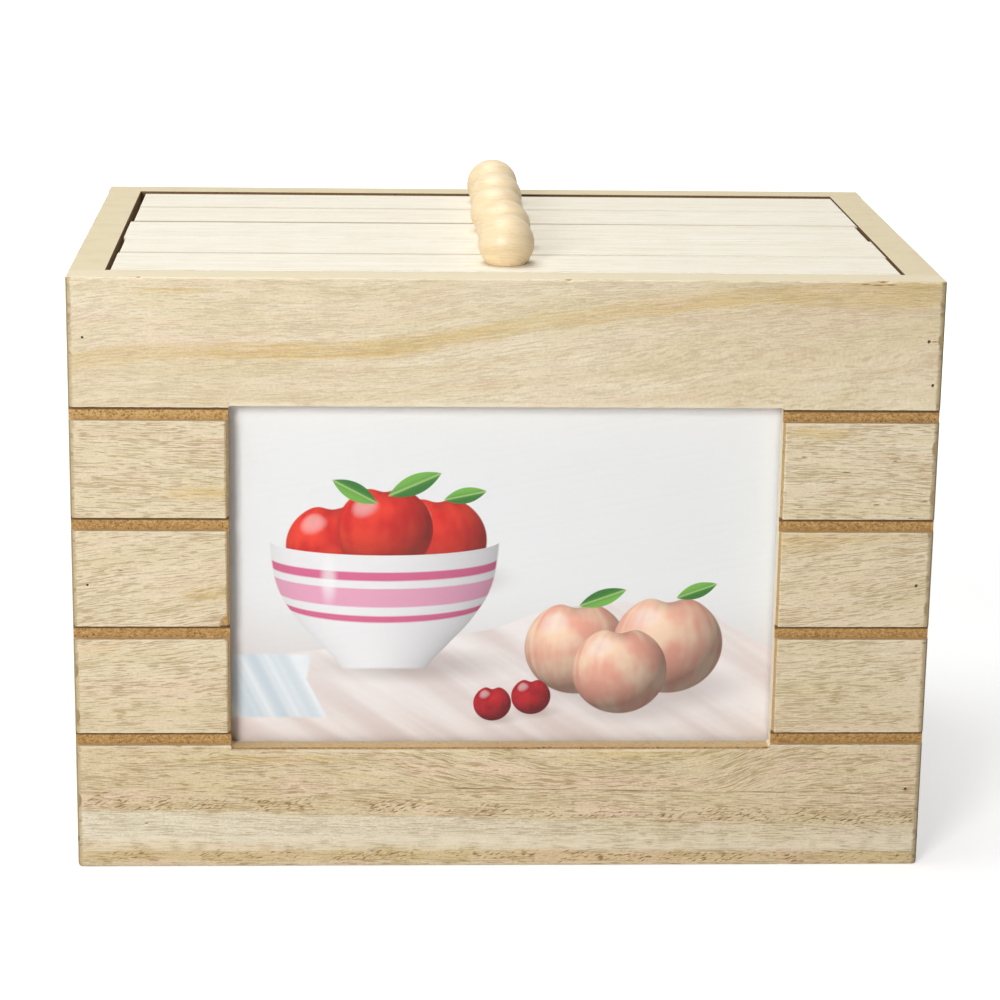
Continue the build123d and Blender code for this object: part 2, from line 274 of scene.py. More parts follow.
def paint(red, green, blue):
    """A colour as it is seen, each part 0 to 255, in the even steps of light that shaders use."""
    levels = [part / 255 for part in (red, green, blue)]
    even = [x / 12.92 if x <= 0.04045 else ((x + 0.055) / 1.055) ** 2.4 for x in levels]
    return (*even, 1.0)


def new_tree(name, kind, inputs, outputs):
    """An empty group of nodes: its tree, what comes in, and what goes out."""
    tree = bpy.data.node_groups.new(name, kind)
    for label, sort, *value in inputs:
        socket = tree.interface.new_socket(label, in_out="INPUT", socket_type="NodeSocket" + sort)
        if value:
            socket.default_value = value[0]
    for label, sort in outputs:
        tree.interface.new_socket(label, in_out="OUTPUT", socket_type="NodeSocket" + sort)
    start_wiring(tree)
    given = by_name(add_node("NodeGroupInput"))
    return tree, given, add_node("NodeGroupOutput").inputs


def use_group(name, inputs):
    """Place a shader group in the tree and hand back what comes out of it."""
    node = add_node("ShaderNodeGroup", node_tree=bpy.data.node_groups[name])
    for label, value in inputs.items():
        feed(node.inputs[label], value)
    return by_name(node)


def new_finish(name, **constants):
    """An empty material: its Principled shader, and the surface's place in millimetres."""
    material = bpy.data.materials.new(name)
    material.use_nodes = True
    start_wiring(material.node_tree)
    shader = material.node_tree.nodes["Principled BSDF"]
    for label, value in constants.items():
        shader.inputs[label.replace("_", " ")].default_value = value
    place = add("ShaderNodeTexCoord", out="Object")
    scaled = add("ShaderNodeVectorMath", {0: place, "Scale": 1 / MM}, operation="SCALE")
    return material, shader, split(scaled)


def give(shader, colour, relief=None, depth=0.0, roughness=None):
    """Feed a shader its colour, its relief in millimetres, and its roughness where that changes."""
    feed(shader.inputs["Base Color"], colour)
    if roughness is not None:
        feed(shader.inputs["Roughness"], roughness)
    if relief is not None:
        inputs = {"Height": relief, "Distance": depth * MM, "Strength": 1.0}
        feed(shader.inputs["Normal"], add("ShaderNodeBump", inputs))


print("white paint:", paint(255, 255, 255))

# %% [markdown]
# ## The figure of the wood
#
# All the wood on the box is a pale, open-grained hardwood, cut so that the grain runs along each board.
# It could be painted by hand for each board, but the same layers make all of it: broad streaks, fine
# lines, cloudy shade, and pores, which show as short brown dashes in line with the grain.  Each layer is
# noise that is stretched along the grain, and the pores are where such a noise comes near its top, so
# no two are alike.  One group serves all, with its own values for each wood.

# %% Wood figure, shared by every wooden part
inputs = [("Along", "Float"), ("Across", "Float"), ("Seed", "Float"), ("Wander", "Float", 3.0)]
inputs += [("Pore Length", "Float", 4.2), ("Pore Width", "Float", 0.33)]
outputs = [(label, "Float") for label in ("Streak", "Line", "Cloud", "Pore", "Speckle")]
tree, given, made = new_tree("wood_figure", "ShaderNodeTree", inputs, outputs)
along, across, seed = given["Along"], given["Across"], given["Seed"]
drift = noise(along / 48, across / 16, seed)
ripple = noise(along / 12, across / 3, seed)
level = across + (drift - 0.5) * given["Wander"]
level = level + (ripple - 0.5) * given["Wander"] * 0.3
streak = noise(along / 90, level / 2.6, seed, 4.0, 0.6)
line = noise(along / 16, level / 0.5, seed, 4.0, 0.75)
cloud = noise(along / 14, across / 5, seed, 3.0, 0.6)
patch = noise(along / 20, level / 4.5, seed + 3.0, 2.0)
common = step(patch, 0.32, 0.62)
pore_along = along / given["Pore Length"]
pore_across = level / given["Pore Width"]
short = noise(pore_along, pore_across, seed + 9.0, 1.0)
thread = noise(pore_along * 0.4, pore_across * 0.9, seed + 5.0, 1.0)
bar = common * -0.1 + 0.61
short = step(short - bar, 0.0, 0.11)
thread = step(thread - bar, 0.0, 0.16)
speckle = noise(along / 0.8, across / 0.45, seed, 1.0)
feed(made["Streak"], streak)
feed(made["Line"], line)
feed(made["Cloud"], cloud)
feed(made["Pore"], calc("MAXIMUM", short, thread * 0.8))
feed(made["Speckle"], speckle)
print("groups:", [group.name for group in bpy.data.node_groups])

# %% Lay the figure over a colour


def figured(wood, colour, deep, contrast, depth):
    """Lay the fine lines and the pores of a wood over its colour, and hand back its relief as well."""
    fine = wood["Line"] + wood["Speckle"] * 0.8 - 0.9
    colour = shaded(colour, fine * contrast + 1.0)
    colour = tint(wood["Pore"] * depth, colour, deep)
    return colour, wood["Line"] * 0.35 - wood["Pore"] * 0.6


print("what the figure gives:", [label for label, sort in outputs])

# %% [markdown]
# ## Veneer of the front wall
#
# One sheet of veneer covered the front wall before the grooves and the window were cut.  Its grain
# lines rise and fall along the board, and its most striking marks are a golden band through the top
# board and two rows of short slanted flecks in the bottom board, with a joint line above them.  The
# marks follow the grain, so the heights of a few grain lines are measured along the board and given as
# curves; everything else is laid out by its height above the nearest of those lines.

# %% Measures of the front wall
case_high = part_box("front_panel")[1]
HALF_WIDTH = case_high.x / MM
CASE_TOP = case_high.z / MM
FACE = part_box("front_veneer_top")[0].y / MM
TOP_BOARD = 128.4                 # lower edge of the top board
BOTTOM_BOARD = 34.8               # upper edge of the bottom board
BLOCK_MIDDLE = 94.5               # middle of the short boards, left and right of the window
WINDOW_HALF = 73.3                # half of the window's width
SILL = 33.1                       # height of the window's foot
GROOVE_PITCH = 30.0
GROOVE_HALF = 1.8                 # half of a groove's height
GROOVE_MIDDLE = 36.6              # height of the lowest groove's middle
print("front wall:", round(2 * HALF_WIDTH, 1), "by", round(CASE_TOP, 1), "mm")

# %% Grain lines and marks of the front wall
# each point of a grain line is a distance from the middle and a rise, in millimetres
TOP_GRAIN = [(-115, -1), (-98, 1.6), (-70, 2.6), (-39, 3.6), (-2, 8.0), (33, 12.6), (77, 17.6), (115, 20)]
TOP_SHARE = [(128, 0.45), (140, 0.8), (150, 1.0), (163, 0.7)]  # how much of that rise, by height
GOLDEN_LINE = [
    (-115, 138.5), (-102, 142.4), (-87, 143.3), (-62, 143.6), (-38, 144.1), (-14, 147.6),
    (13, 152.3), (38, 155.3), (62, 158.3), (88, 160.5), (115, 162.2),
]
LOWER_GRAIN = [(-115, 2), (-70, 1.5), (-44, 0.5), (-6, -4), (16, -6.5), (38, -7), (56, -5), (82, 3), (115, 5)]
MIDDLE_TURN = [
    (34, 0.0), (40, 0.02), (50, 0.05), (62, 0.1), (75, 0.14), (90, 0.11), (104, -0.03), (128, 0.01),
]
# heights on the bottom board, each with its fall for every millimetre to the right
JOINT = (22.3, -0.015)            # joint of two strips
UPPER_FLECKS = (16.3, -0.024)     # rows of slanted flecks in the lower strip
LOWER_FLECKS = (2.9, -0.0096)
PALE_LOW = (5.6, -0.0158)         # foot and top of the pale stretch between the two rows
PALE_HIGH = (13.6, -0.0254)
FLECK_SLANT = -0.33               # rise of a fleck for each millimetre along the board
GOLDEN_STRENGTH = [
    (-115, 0.5), (-98, 0.55), (-80, 0.75), (-60, 1.0), (-30, 0.95), (0, 0.7), (50, 0.75), (115, 0.95),
]
GOLDEN_PATCHES = (
    # middle and reach, aside and up
    ((-80, 105.5), (16, 3.2)),
    ((-78, 75.5), (12, 3.0)),
    ((82, 94.0), (32, 5.0)),
    ((82, 122.0), (14, 2.6)),
    ((-88, 159.4), (16, 1.2)),
    ((94, 158.2), (42, 3.9)),
    ((-108, 63.5), (9, 2.2)),
    ((38, 32.5), (24, 2.6)),
    ((-60, 31.0), (30, 1.4)),
)
DARK_FLECKS = (
    # aside, up and half length of single dark flecks
    (79.0, 115.6, 1.2),
    (90.6, 111.4, 1.8),
    (99.0, 102.6, 1.3),
    (103.4, 114.6, 0.9),
    (112.0, 103.6, 1.2),
    (108.4, 98.9, 1.2),
    (-102.0, 84.0, 1.0),
    (-96.3, 12.6, 0.8),
    (-109.2, 20.7, 1.1),
    (112.4, 147.0, 1.6),
    (93.4, 162.2, 1.8),
    (96.6, 162.0, 2.6),
    (100.0, 162.1, 2.2),
)
CREAM = paint(225, 208, 174)
PALE_CREAM = paint(234, 220, 192)
PALE_STRETCH = paint(227, 217, 193)
TAN = paint(210, 188, 148)
PINKISH = paint(226, 199, 172)
OLIVE = paint(212, 196, 150)
SANDED = paint(188, 169, 130)
GOLD = paint(212, 181, 115)
PORE_BROWN = paint(172, 144, 98)
FLECK_BROWN = paint(118, 88, 50)
print("golden patches:", len(GOLDEN_PATCHES), "dark flecks:", len(DARK_FLECKS))

# %% [markdown]
# A mark is laid out with one of three rulers: how far a point is from a level, from a spot, or above a
# sloping line.  The first two give a soft share from 0 to 1 that a colour can follow, the third a height.

# %% Rulers for marks


def soft_band(value, middle, half, edge):
    """1 within half of the middle, fading out over the edge."""
    away = abs(value - middle)
    return 1.0 - step(away, half - edge, half + edge)


def soft_spot(x, z, middle, reach):
    """1 at a spot, fading out at its reach along and across the grain."""
    aside = (x - middle[0]) / reach[0]
    up = (z - middle[1]) / reach[1]
    away = calc("SQRT", aside * aside + up * up)
    return 1.0 - step(away, 0.2, 1.0)


def above(x, z, line):
    """Height above a straight line that is given by its height in the middle and its fall."""
    return z - (x * line[1] + line[0])


print("rulers: soft_band, soft_spot, above")

# %% [markdown]
# The top board, the short boards and the two strips of the bottom board each have grain of their own,
# so the height above the grain line is worked out for all of them and the right one picked.

# %% Follow the grain, and find the edges for the painted highlight and the sanded sides


def front_grain(x, z):
    """Height of each point above the grain line that runs under it."""
    local = abs(x) - BLOCK_MIDDLE
    side = calc("SIGN", x)
    middle = curve(z, MIDDLE_TURN) * local * side
    top = curve(x, TOP_GRAIN) * curve(z, TOP_SHARE)
    strip = x * JOINT[1]
    on_top = z > TOP_BOARD - 1
    on_bottom = z < BOTTOM_BOARD + 1
    in_strip = z - strip < JOINT[0]
    rise = pick(on_top, middle, top)
    rise = pick(on_bottom, rise, curve(x, LOWER_GRAIN))
    rise = pick(in_strip, rise, strip)
    return z - rise, on_top, on_bottom, in_strip


def edge_highlight(x, z):
    """1 along the boards' cut edges and the top edge, where a painted highlight makes them paler."""
    row = calc("PINGPONG", z - GROOVE_MIDDLE, GROOVE_PITCH / 2)
    near_groove = 1.0 - step(row, GROOVE_HALF + 0.15, GROOVE_HALF + 0.6)
    below_top = step(z, TOP_BOARD + 2, TOP_BOARD + 1)
    top = step(z, CASE_TOP - 0.8, CASE_TOP - 0.2)
    over_sill = step(z, SILL - 0.4, SILL) * step(abs(x), WINDOW_HALF - 0.3, WINDOW_HALF - 0.9) * below_top
    top = calc("MAXIMUM", top, over_sill)
    uneven = step(noise(x / 6, z / 6, 4.0), 0.3, 0.6)
    return calc("MAXIMUM", near_groove * below_top, top) * uneven


def sanded_side(x, z):
    """1 along the outer upright edges, where the sheet is sanded so thin that the board shows."""
    ragged = noise(z / 2.2, x / 3, 14.0, 3.0, 0.7)
    reach = ragged * 1.8 - 0.9
    reach = abs(x) + reach + step(x, -100.0, 100.0) * 0.2
    return step(reach, HALF_WIDTH - 1.7, HALF_WIDTH - 0.9)


print("grain lines: top board", len(TOP_GRAIN), "points, lower boards", len(LOWER_GRAIN))

# %% [markdown]
# Each kind of mark has a helper of its own: the golden band with its patches, the rows of flecks, the
# joint line with the single dark flecks, and the painted highlight on the cut edges with what sanding
# has done to the sides.

# %% Marks of the front veneer


def golden_share(x, z, level, on_top, on_bottom):
    """How golden each point is, in the band and in the smaller patches."""
    strands = noise(x / 18, level / 0.7, 5.0, 3.0, 0.6)
    frayed = noise(x / 14, level / 1.1, 8.0, 3.0, 0.6)
    band_level = z - curve(x, GOLDEN_LINE) + frayed * 4.4 - 2.2
    golden = soft_band(band_level, 0.0, 2.3, 1.0) * on_top * curve(x, GOLDEN_STRENGTH)
    patch_level = pick(calc("MAXIMUM", on_top, on_bottom), level, z)
    torn = step(frayed, 0.38, 0.56) * 0.65 + 0.35
    for middle, reach in GOLDEN_PATCHES:
        spot = soft_spot(x, patch_level, middle, reach)
        golden = calc("MAXIMUM", golden, spot * torn * 0.95)
    return golden * (step(strands, 0.34, 0.6) * 0.6 + 0.4)


def lay_fleck_rows(colour, x, z, ragged, in_strip):
    """Lay the two rows of slanted flecks, each fleck with a tan halo, and hand back where they are."""
    upper_row = soft_band(above(x, ragged, UPPER_FLECKS), 0.0, 1.9, 0.9)
    lower_row = soft_band(above(x, ragged, LOWER_FLECKS), 0.0, 1.5, 0.7)
    rows = calc("MAXIMUM", upper_row, lower_row) * in_strip
    colour = tint(lower_row * in_strip * 0.3, colour, GOLD)
    slanted = x * FLECK_SLANT + z
    fleck = noise(x / 1.9, slanted / 0.5, 2.0, 1.0, 0.6)
    clump = noise(x / 8, z / 5, 3.0)
    bar = step(clump, 0.36, 0.6) * -0.13 + 0.7
    over = fleck - bar
    halo = step(over, -0.09, 0.0) * rows
    fleck = step(over, 0.01, 0.06) * rows
    colour = tint(halo * 0.55, colour, paint(186, 152, 98))
    colour = tint(fleck * 0.75, colour, FLECK_BROWN)
    return colour, fleck


def lay_joint(colour, x, z):
    """Lay the joint line and the single dark flecks, and hand back where the line is."""
    seam = soft_band(above(x, z, JOINT), 0.0, 0.16, 0.14)
    seam = seam * step(noise(x / 13, 7.0), 0.36, 0.6) * step(x, -45.0, -5.0)
    colour = tint(seam * 0.75, colour, paint(128, 92, 58))
    for place in DARK_FLECKS:
        spot = soft_spot(x, z, place[:2], (place[2], 0.3))
        colour = tint(spot * 0.8, colour, FLECK_BROWN)
    return colour, seam


def lay_edge_highlight_and_sanding(colour, x, z):
    """Lay the painted highlight on the cut edges, and the sanded, splintered sides."""
    # painted highlight: the cut edges and the top edge are made paler, as where they catch the light
    colour = tint(edge_highlight(x, z) * 0.6, colour, paint(240, 227, 200))
    sanded = sanded_side(x, z)
    colour = tint(sanded * 0.85, colour, SANDED)
    splinters = step(noise(z / 1.3, x / 4, 31.0), 0.56, 0.66)
    return tint(sanded * splinters * 0.5, colour, paint(128, 104, 68))


print("marks: golden_share, lay_fleck_rows, lay_joint, lay_edge_highlight_and_sanding")

# %% Put the front veneer together


def front_veneer_finish():
    """Cream veneer with its golden band, flecks and joint line."""
    material, shader, (x, y, z) = new_finish("front_veneer", Roughness=0.62, IOR=1.45)
    level, on_top, on_bottom, in_strip = front_grain(x, z)
    wander = pick(on_bottom, 3.0, pick(in_strip, 6.0, 2.0))
    wood = use_group("wood_figure", {"Along": x, "Across": level, "Seed": 3.1, "Wander": wander})
    colour = tint(step(wood["Streak"], 0.26, 0.74), CREAM, PALE_CREAM)
    colour = tint(step(wood["Cloud"], 0.46, 0.72) * 0.22, colour, TAN)
    upper_right = step(x, 0.0, 60.0) * step(z, 90.0, 105.0)
    lower = step(z, 60.0, 30.0) * 0.3 + upper_right * -0.17 + 0.2
    colour = tint(step(z, 130.0, 127.0) * lower, colour, TAN)
    colour = tint(step(x, 0.0, -90.0) * on_bottom * 0.4, colour, TAN)
    low_left = step(x, -30.0, -80.0) * step(z, 149.0, 139.0) * 0.25
    corner = low_left + step(x, 10.0, 70.0) * step(z, 130.0, 146.0) * 0.32
    colour = tint(corner * on_top, colour, TAN)

    colour = tint(golden_share(x, z, level, on_top, on_bottom) * 0.9, colour, GOLD)
    pinkish = noise(x / 34, level / 7, 21.0, 3.0, 0.55)
    hue_share = pick(on_bottom, 0.38, 0.7)
    colour = tint(step(pinkish, 0.5, 0.66) * hue_share, colour, PINKISH)
    colour = tint(step(pinkish, 0.48, 0.34) * hue_share * 0.8, colour, OLIVE)

    fringe = noise(x / 22, z / 1.1, 12.0, 3.0, 0.6)
    ragged = z + fringe * 5.0 - 2.5
    over_foot = step(above(x, ragged, PALE_LOW), -0.9, 0.9)
    under_top = step(above(x, ragged, PALE_HIGH), 0.9, -0.9)
    pale = over_foot * under_top * (step(x, 90.0, -60.0) * 0.45 + 0.4)
    colour = tint(pale, colour, PALE_STRETCH)
    depth = pick(on_top, pick(on_bottom, 0.72, 0.85), 0.3) * (1.0 - pale * 0.55)
    colour, relief = figured(wood, colour, PORE_BROWN, pick(on_bottom, 0.4, 0.6), depth)

    colour, fleck = lay_fleck_rows(colour, x, z, ragged, in_strip)
    # painted highlight on the cut edges, and the sanded, splintered sides
    colour = lay_edge_highlight_and_sanding(colour, x, z)
    colour, seam = lay_joint(colour, x, z)
    give(shader, colour, relief - fleck * 0.8 - seam * 0.8, 0.08)
    return material


FRONT_VENEER = front_veneer_finish()
print("finish:", FRONT_VENEER.name)

# %% [markdown]
# ## Veneer of the other walls
#
# The side and back walls wear the same wood in quieter sheets.  Their veneer uses the same group with
# the grain turned to run along each wall.  Every sheet ends at a corner, so no mark has to run on round it.

# %% Side and back veneer


def plain_veneer_finish(name, seed, runs_along_y):
    """Quiet veneer whose grain runs along the wall."""
    material, shader, (x, y, z) = new_finish(name, Roughness=0.62, IOR=1.45)
    along = y if runs_along_y else x
    slow = noise(along / 130, seed)
    level = z + slow * 26.0 - 13.0
    wood = use_group("wood_figure", {"Along": along, "Across": level, "Seed": seed})
    colour = tint(step(wood["Streak"], 0.3, 0.72), CREAM, PALE_CREAM)
    colour = tint(step(wood["Cloud"], 0.5, 0.8) * 0.5, colour, TAN)
    heart = step(noise(along / 150, level / 9, seed), 0.6, 0.72)
    colour = tint(heart * 0.5, colour, GOLD)
    colour, relief = figured(wood, colour, PORE_BROWN, 0.34, 0.5)
    give(shader, colour, relief, 0.08)
    return material


LEFT_VENEER = plain_veneer_finish("left_veneer", 11.3, True)
RIGHT_VENEER = plain_veneer_finish("right_veneer", 17.9, True)
BACK_VENEER = plain_veneer_finish("back_veneer", 23.7, False)
print("finishes:", LEFT_VENEER.name, RIGHT_VENEER.name, BACK_VENEER.name)

# %% [markdown]
# ## Fibreboard
#
# Where the board is cut, in the grooves and round the window, it is warm brown felted fibre with dark
# specks of bark and a few pale splinters.  A dark line along the top of each groove is painted shadow
# under the veneer's edge, and the upward ledges are painted lighter, as painted light from above.  The
# faces inside the box are painted darker, as painted shade for the deep gaps.  The walls' top edges have
# been sanded and sealed, so they are a plain pale yellow with faint clouds.  All are one finish, because
# they are one board: the surface's own place and direction tell the sealed edge from the raw cut.

# %% Fibreboard finish
FIBRE = paint(205, 168, 108)
FIBRE_DARK = paint(176, 132, 72)
FIBRE_DEEP = paint(140, 98, 48)
FIBRE_PALE = paint(232, 202, 146)
INSIDE_SHADE = paint(104, 76, 44)
SIDE_EDGE = paint(178, 162, 128)
UNDER_CHIPS = paint(158, 136, 98)
GROOVE_SHADOW_COLOUR = paint(96, 66, 32)
BARK = paint(84, 55, 30)
SEALED_EDGE = paint(226, 212, 178)
INSIDE_X = 106.0                  # the walls' inside faces lie within these distances of the middle
INSIDE_Y = 66.0


def felted(x, y, z):
    """Felted fibre with specks of bark: its colour and its relief."""
    felt = noise(x / 0.8, y / 0.6, z / 0.6, 4.0, 0.85)
    cloud = noise(x / 6, y / 6, z / 6, 2.0)
    browner = calc("MAXIMUM", step(x, -60.0, 60.0) * 0.75, step(z, 116.0, 90.0))
    base = tint(browner * 0.55, FIBRE, FIBRE_DARK)
    base = tint(step(cloud, 0.4, 0.7) * 0.35, base, FIBRE_DARK)
    colour = tint(step(felt, 0.52, 0.38) * 0.9, base, FIBRE_DEEP)
    colour = tint(step(felt, 0.54, 0.7) * 0.75, colour, FIBRE_PALE)
    distance, dice = grains(x / 1.6, y / 1.6, z / 1.6)
    chance = split(dice)
    size = chance[1] * chance[1] * 0.26 + 0.13
    speck = 1.0 - step(distance / size, 0.5, 1.2)
    speck = speck * (chance[0] < 0.6)
    colour = tint(speck * 0.8, colour, BARK)
    return colour, felt * 0.6 - speck * 0.5


def fibreboard_finish():
    """Raw brown fibreboard with a sealed pale top edge."""
    material, shader, (x, y, z) = new_finish("fibreboard", Roughness=0.75, IOR=1.45)
    colour, relief = felted(x, y, z)

    outward = abs(x)
    facing = split(add("ShaderNodeNewGeometry", out="Normal"))
    near_face = step(y, FACE + 2.6, FACE + 2.2)
    sideways = step(abs(facing[0]), 0.2, 0.45)
    turned = sideways * near_face
    at_side = step(outward, HALF_WIDTH - 3, HALF_WIDTH - 2)
    colour = tint(at_side * turned * 0.85, colour, SIDE_EDGE)
    under_chips = step(outward, HALF_WIDTH - 3, HALF_WIDTH - 2.4) * step(y, FACE + 0.8, FACE + 0.6)
    colour = tint(under_chips * 0.85, colour, UNDER_CHIPS)
    beside = step(outward, WINDOW_HALF + 2.7, WINDOW_HALF + 1.7)
    colour = tint(beside * turned * 0.5, colour, SANDED)
    behind_slope = step(y, FACE + 1.1, FACE + 1.3) * step(y, FACE + 10.5, FACE + 10.0)
    lit_side = sideways * beside * behind_slope * (x > 0.0)
    colour = tint(lit_side * 0.9, colour, paint(246, 234, 206))
    # painted shade: the faces inside the box are made darker brown, for the deep, narrow gaps
    inside = step(outward, INSIDE_X, INSIDE_X - 0.4) * step(abs(y), INSIDE_Y, INSIDE_Y - 0.4)
    colour = tint(inside * 0.8, colour, INSIDE_SHADE)
    from_middle = calc("WRAP", z - GROOVE_MIDDLE, GROOVE_PITCH / 2, -GROOVE_PITCH / 2)
    in_groove = near_face * step(outward, WINDOW_HALF - 0.4, WINDOW_HALF - 0.2)
    in_groove = in_groove * step(z, TOP_BOARD + 2, TOP_BOARD + 1)
    # painted shadow: a dark line along the top of each groove, where the veneer's edge shades it
    groove_shadow = step(from_middle, 0.6, 0.85) * step(from_middle, 2.2, 2.0) * in_groove
    colour = tint(groove_shadow * 0.85, colour, GROOVE_SHADOW_COLOUR)

    upward = step(facing[2], 0.25, 0.6)
    # painted light: the upward ledges of the sill and the groove floors are made paler, as lit from above
    sill = step(outward, WINDOW_HALF + 1.7, WINDOW_HALF + 0.7) * behind_slope * step(z, 40.0, 36.0)
    groove_floor = near_face * step(outward, WINDOW_HALF - 0.3, WINDOW_HALF + 0.3)
    lit_ledge = upward * calc("MAXIMUM", sill, groove_floor)
    colour = tint(lit_ledge * pick(sill, 0.5, 0.42), colour, paint(250, 234, 192))
    sealed = upward * (z > CASE_TOP - 2)
    edge_cloud = noise(x / 11, y / 7, 9.0, 3.0, 0.6)
    edge = tint(step(edge_cloud, 0.45, 0.75), SEALED_EDGE, paint(220, 204, 168))
    edge = tint(step(y, FACE + 10, FACE + 8) * 0.6, edge, paint(236, 224, 196))
    colour = tint(sealed, colour, edge)
    give(shader, colour, relief, 0.06)
    return material


FIBREBOARD = fibreboard_finish()
print("finish:", FIBREBOARD.name)

# %% [markdown]
# ## Header strips and knobs
#
# The header strips are planed from a whiter wood than the veneer, with fine straight grain and hardly
# a pore.  The knobs are turned from the same wood and lightly oiled, so they are a little more peach
# and have a soft sheen.  Both reuse the wood figure, with long faint lines.

# %% Header and knob finishes
HEADER_PITCH = 25.1
HEADER_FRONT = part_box("album_1_header")[0].y / MM - 0.15
# how dark the painted shade in the gap of each joint is: distance from the front header's edge, and share
SEAM_SHADE = [(0, 0.0), (25, 0.55), (50, 0.15), (75, 0.9), (100, 0.5), (126, 0.6)]


def header_finish():
    """Nearly white planed wood with fine straight grain along X."""
    material, shader, (x, y, z) = new_finish("header_wood", Roughness=0.6, Specular_IOR_Level=0.25)
    values = {"Along": x * 0.45, "Across": y + z * 0.8, "Seed": 41.0, "Wander": 1.2}
    wood = use_group("wood_figure", values | {"Pore Length": 5.0, "Pore Width": 0.5})
    colour = tint(step(wood["Streak"], 0.35, 0.7), paint(246, 238, 219), paint(251, 246, 232))
    colour, relief = figured(wood, colour, paint(214, 198, 166), 0.14, 0.35)
    # painted shade: a darker line along the gaps between the header strips, stronger at some joints
    row = calc("PINGPONG", y - HEADER_FRONT, HEADER_PITCH / 2)
    seam = step(row, 1.3, 0.4) * step(z, CASE_TOP - 2.5, CASE_TOP - 0.5)
    gap_shade = curve(y - HEADER_FRONT, SEAM_SHADE)
    gap_shade = gap_shade * pick(step(x, -40.0, 90.0), 1.0, 0.5)
    colour = tint(seam * gap_shade, colour, paint(150, 128, 92))
    give(shader, colour, relief, 0.03)
    return material


def knob_finish():
    """Turned and lightly oiled wood, with grain across the ball."""
    material, shader, (x, y, z) = new_finish("knob_wood", Roughness=0.38, IOR=1.48)
    values = {"Along": x, "Across": z + y * 0.35, "Seed": 53.0, "Wander": 1.5}
    wood = use_group("wood_figure", values | {"Pore Length": 2.4, "Pore Width": 0.35})
    colour = tint(step(wood["Streak"], 0.3, 0.7), paint(237, 212, 170), paint(243, 223, 186))
    colour, relief = figured(wood, colour, paint(212, 178, 132), 0.08, 0.3)
    give(shader, colour, relief, 0.012, wood["Line"] * 0.15 + 0.32)
    return material


HEADER_WOOD = header_finish()
KNOB_WOOD = knob_finish()
print("finishes:", HEADER_WOOD.name, KNOB_WOOD.name)

# %% [markdown]
# ## Metal, board and film
#
# The screws and turn buttons are plain steel, the brads are blued and the posts a little brighter, and
# fine scratches break the shine of all three.  The covers are kraft-lined board with a pressed linen
# grain, the backing is hardboard with a screen pattern, and the leaves are clear film pockets that show
# the white edges of the prints in them.

# %% Metal finish


def metal_finish(name, colour, roughness):
    """Pressed metal with fine scratches and slight tarnish."""
    material, shader, (x, y, z) = new_finish(name, Metallic=1.0)
    scratch = noise(x / 0.12, y / 2, z / 1.2, 3.0)
    tarnish = noise(x / 3, y / 3, z / 3, 2.0)
    dull = tuple(part * 0.72 for part in colour[:3]) + (1.0,)
    colour = tint(step(tarnish, 0.4, 0.75), colour, dull)
    give(shader, colour, scratch, 0.01, scratch * 0.3 + (roughness - 0.15))
    return material


STEEL = metal_finish("steel", paint(196, 196, 198), 0.38)
BLUED_STEEL = metal_finish("blued_steel", paint(122, 98, 70), 0.6)
POST_METAL = metal_finish("post_metal", paint(212, 212, 215), 0.4)
print("finishes:", STEEL.name, BLUED_STEEL.name, POST_METAL.name)

# %% Board, film and pane finishes


def cover_finish():
    """Kraft paper over board, with a pressed linen grain."""
    material, shader, (x, y, z) = new_finish("cover_board", Roughness=0.7)
    weft = calc("SINE", x * (2 * math.pi / 0.7))
    warp = calc("SINE", z * (2 * math.pi / 0.7))
    weave = calc("MAXIMUM", weft, warp)
    fibre = noise(x / 1.5, y / 1.5, z / 1.5, 4.0, 0.7)
    colour = tint(step(fibre, 0.35, 0.7), paint(176, 142, 100), paint(196, 163, 120))
    give(shader, tint(weave * 0.12, colour, paint(150, 116, 78)), weave * -0.5 + fibre * 0.4, 0.05)
    return material


def hardboard_finish():
    """Dark brown pressed board with a fine screen pattern."""
    material, shader, (x, y, z) = new_finish("hardboard", Roughness=0.7)
    screen_x = calc("SINE", x * (2 * math.pi / 1.1))
    screen_z = calc("SINE", z * (2 * math.pi / 1.1))
    screen = screen_x * screen_z
    fibre = noise(x / 0.9, y / 0.9, z / 0.9, 4.0, 0.7)
    colour = tint(step(fibre, 0.35, 0.7), paint(104, 74, 48), paint(134, 99, 66))
    give(shader, tint(screen * 0.25, colour, paint(82, 57, 36)), screen + fibre, 0.05)
    return material


def leaf_finish():
    """Film pockets: bluish clear edges with the white of the prints between them."""
    material, shader, (x, y, z) = new_finish("leaf_film", Roughness=0.25, IOR=1.49)
    smear = noise(x / 18, y / 0.6, z / 18, 3.0)
    colour = tint(step(smear, 0.35, 0.65), paint(226, 230, 232), paint(244, 243, 239))
    give(shader, colour, smear, 0.03, smear * 0.2 + 0.16)
    return material


def pane_finish():
    """Thin clear plastic, wiped almost clean."""
    material, shader, (x, y, z) = new_finish("clear_plastic", Alpha=0.02, IOR=1.49, Specular_IOR_Level=0.3)
    smudge = noise(x / 25, z / 12, 1.0, 4.0, 0.6)
    colour = tint(smudge, paint(250, 251, 252), paint(238, 241, 244))
    give(shader, colour, roughness=smudge * 0.12 + 0.02)
    return material


COVER_BOARD = cover_finish()
HARDBOARD = hardboard_finish()
LEAF_FILM = leaf_finish()
CLEAR_PLASTIC = pane_finish()
print("materials so far:", len(bpy.data.materials))

# %% [markdown]
# ## The print in the window
#
# Behind the pane stands a glossy print with a still life: a white bowl with pink bands that holds red
# fruit, peaches and cherries on a pale cloth, in front of a nearly white wall.  It is painted with
# shapes laid over each other.  A round fruit is a disc that is shaded as a ball: how far a point is
# from the middle gives the slope of the ball there, and the slope gives its light.

# %% Shader group for a round fruit
LIGHT_FROM = (-0.42, 0.55, 0.72)  # towards the window that lights the still life

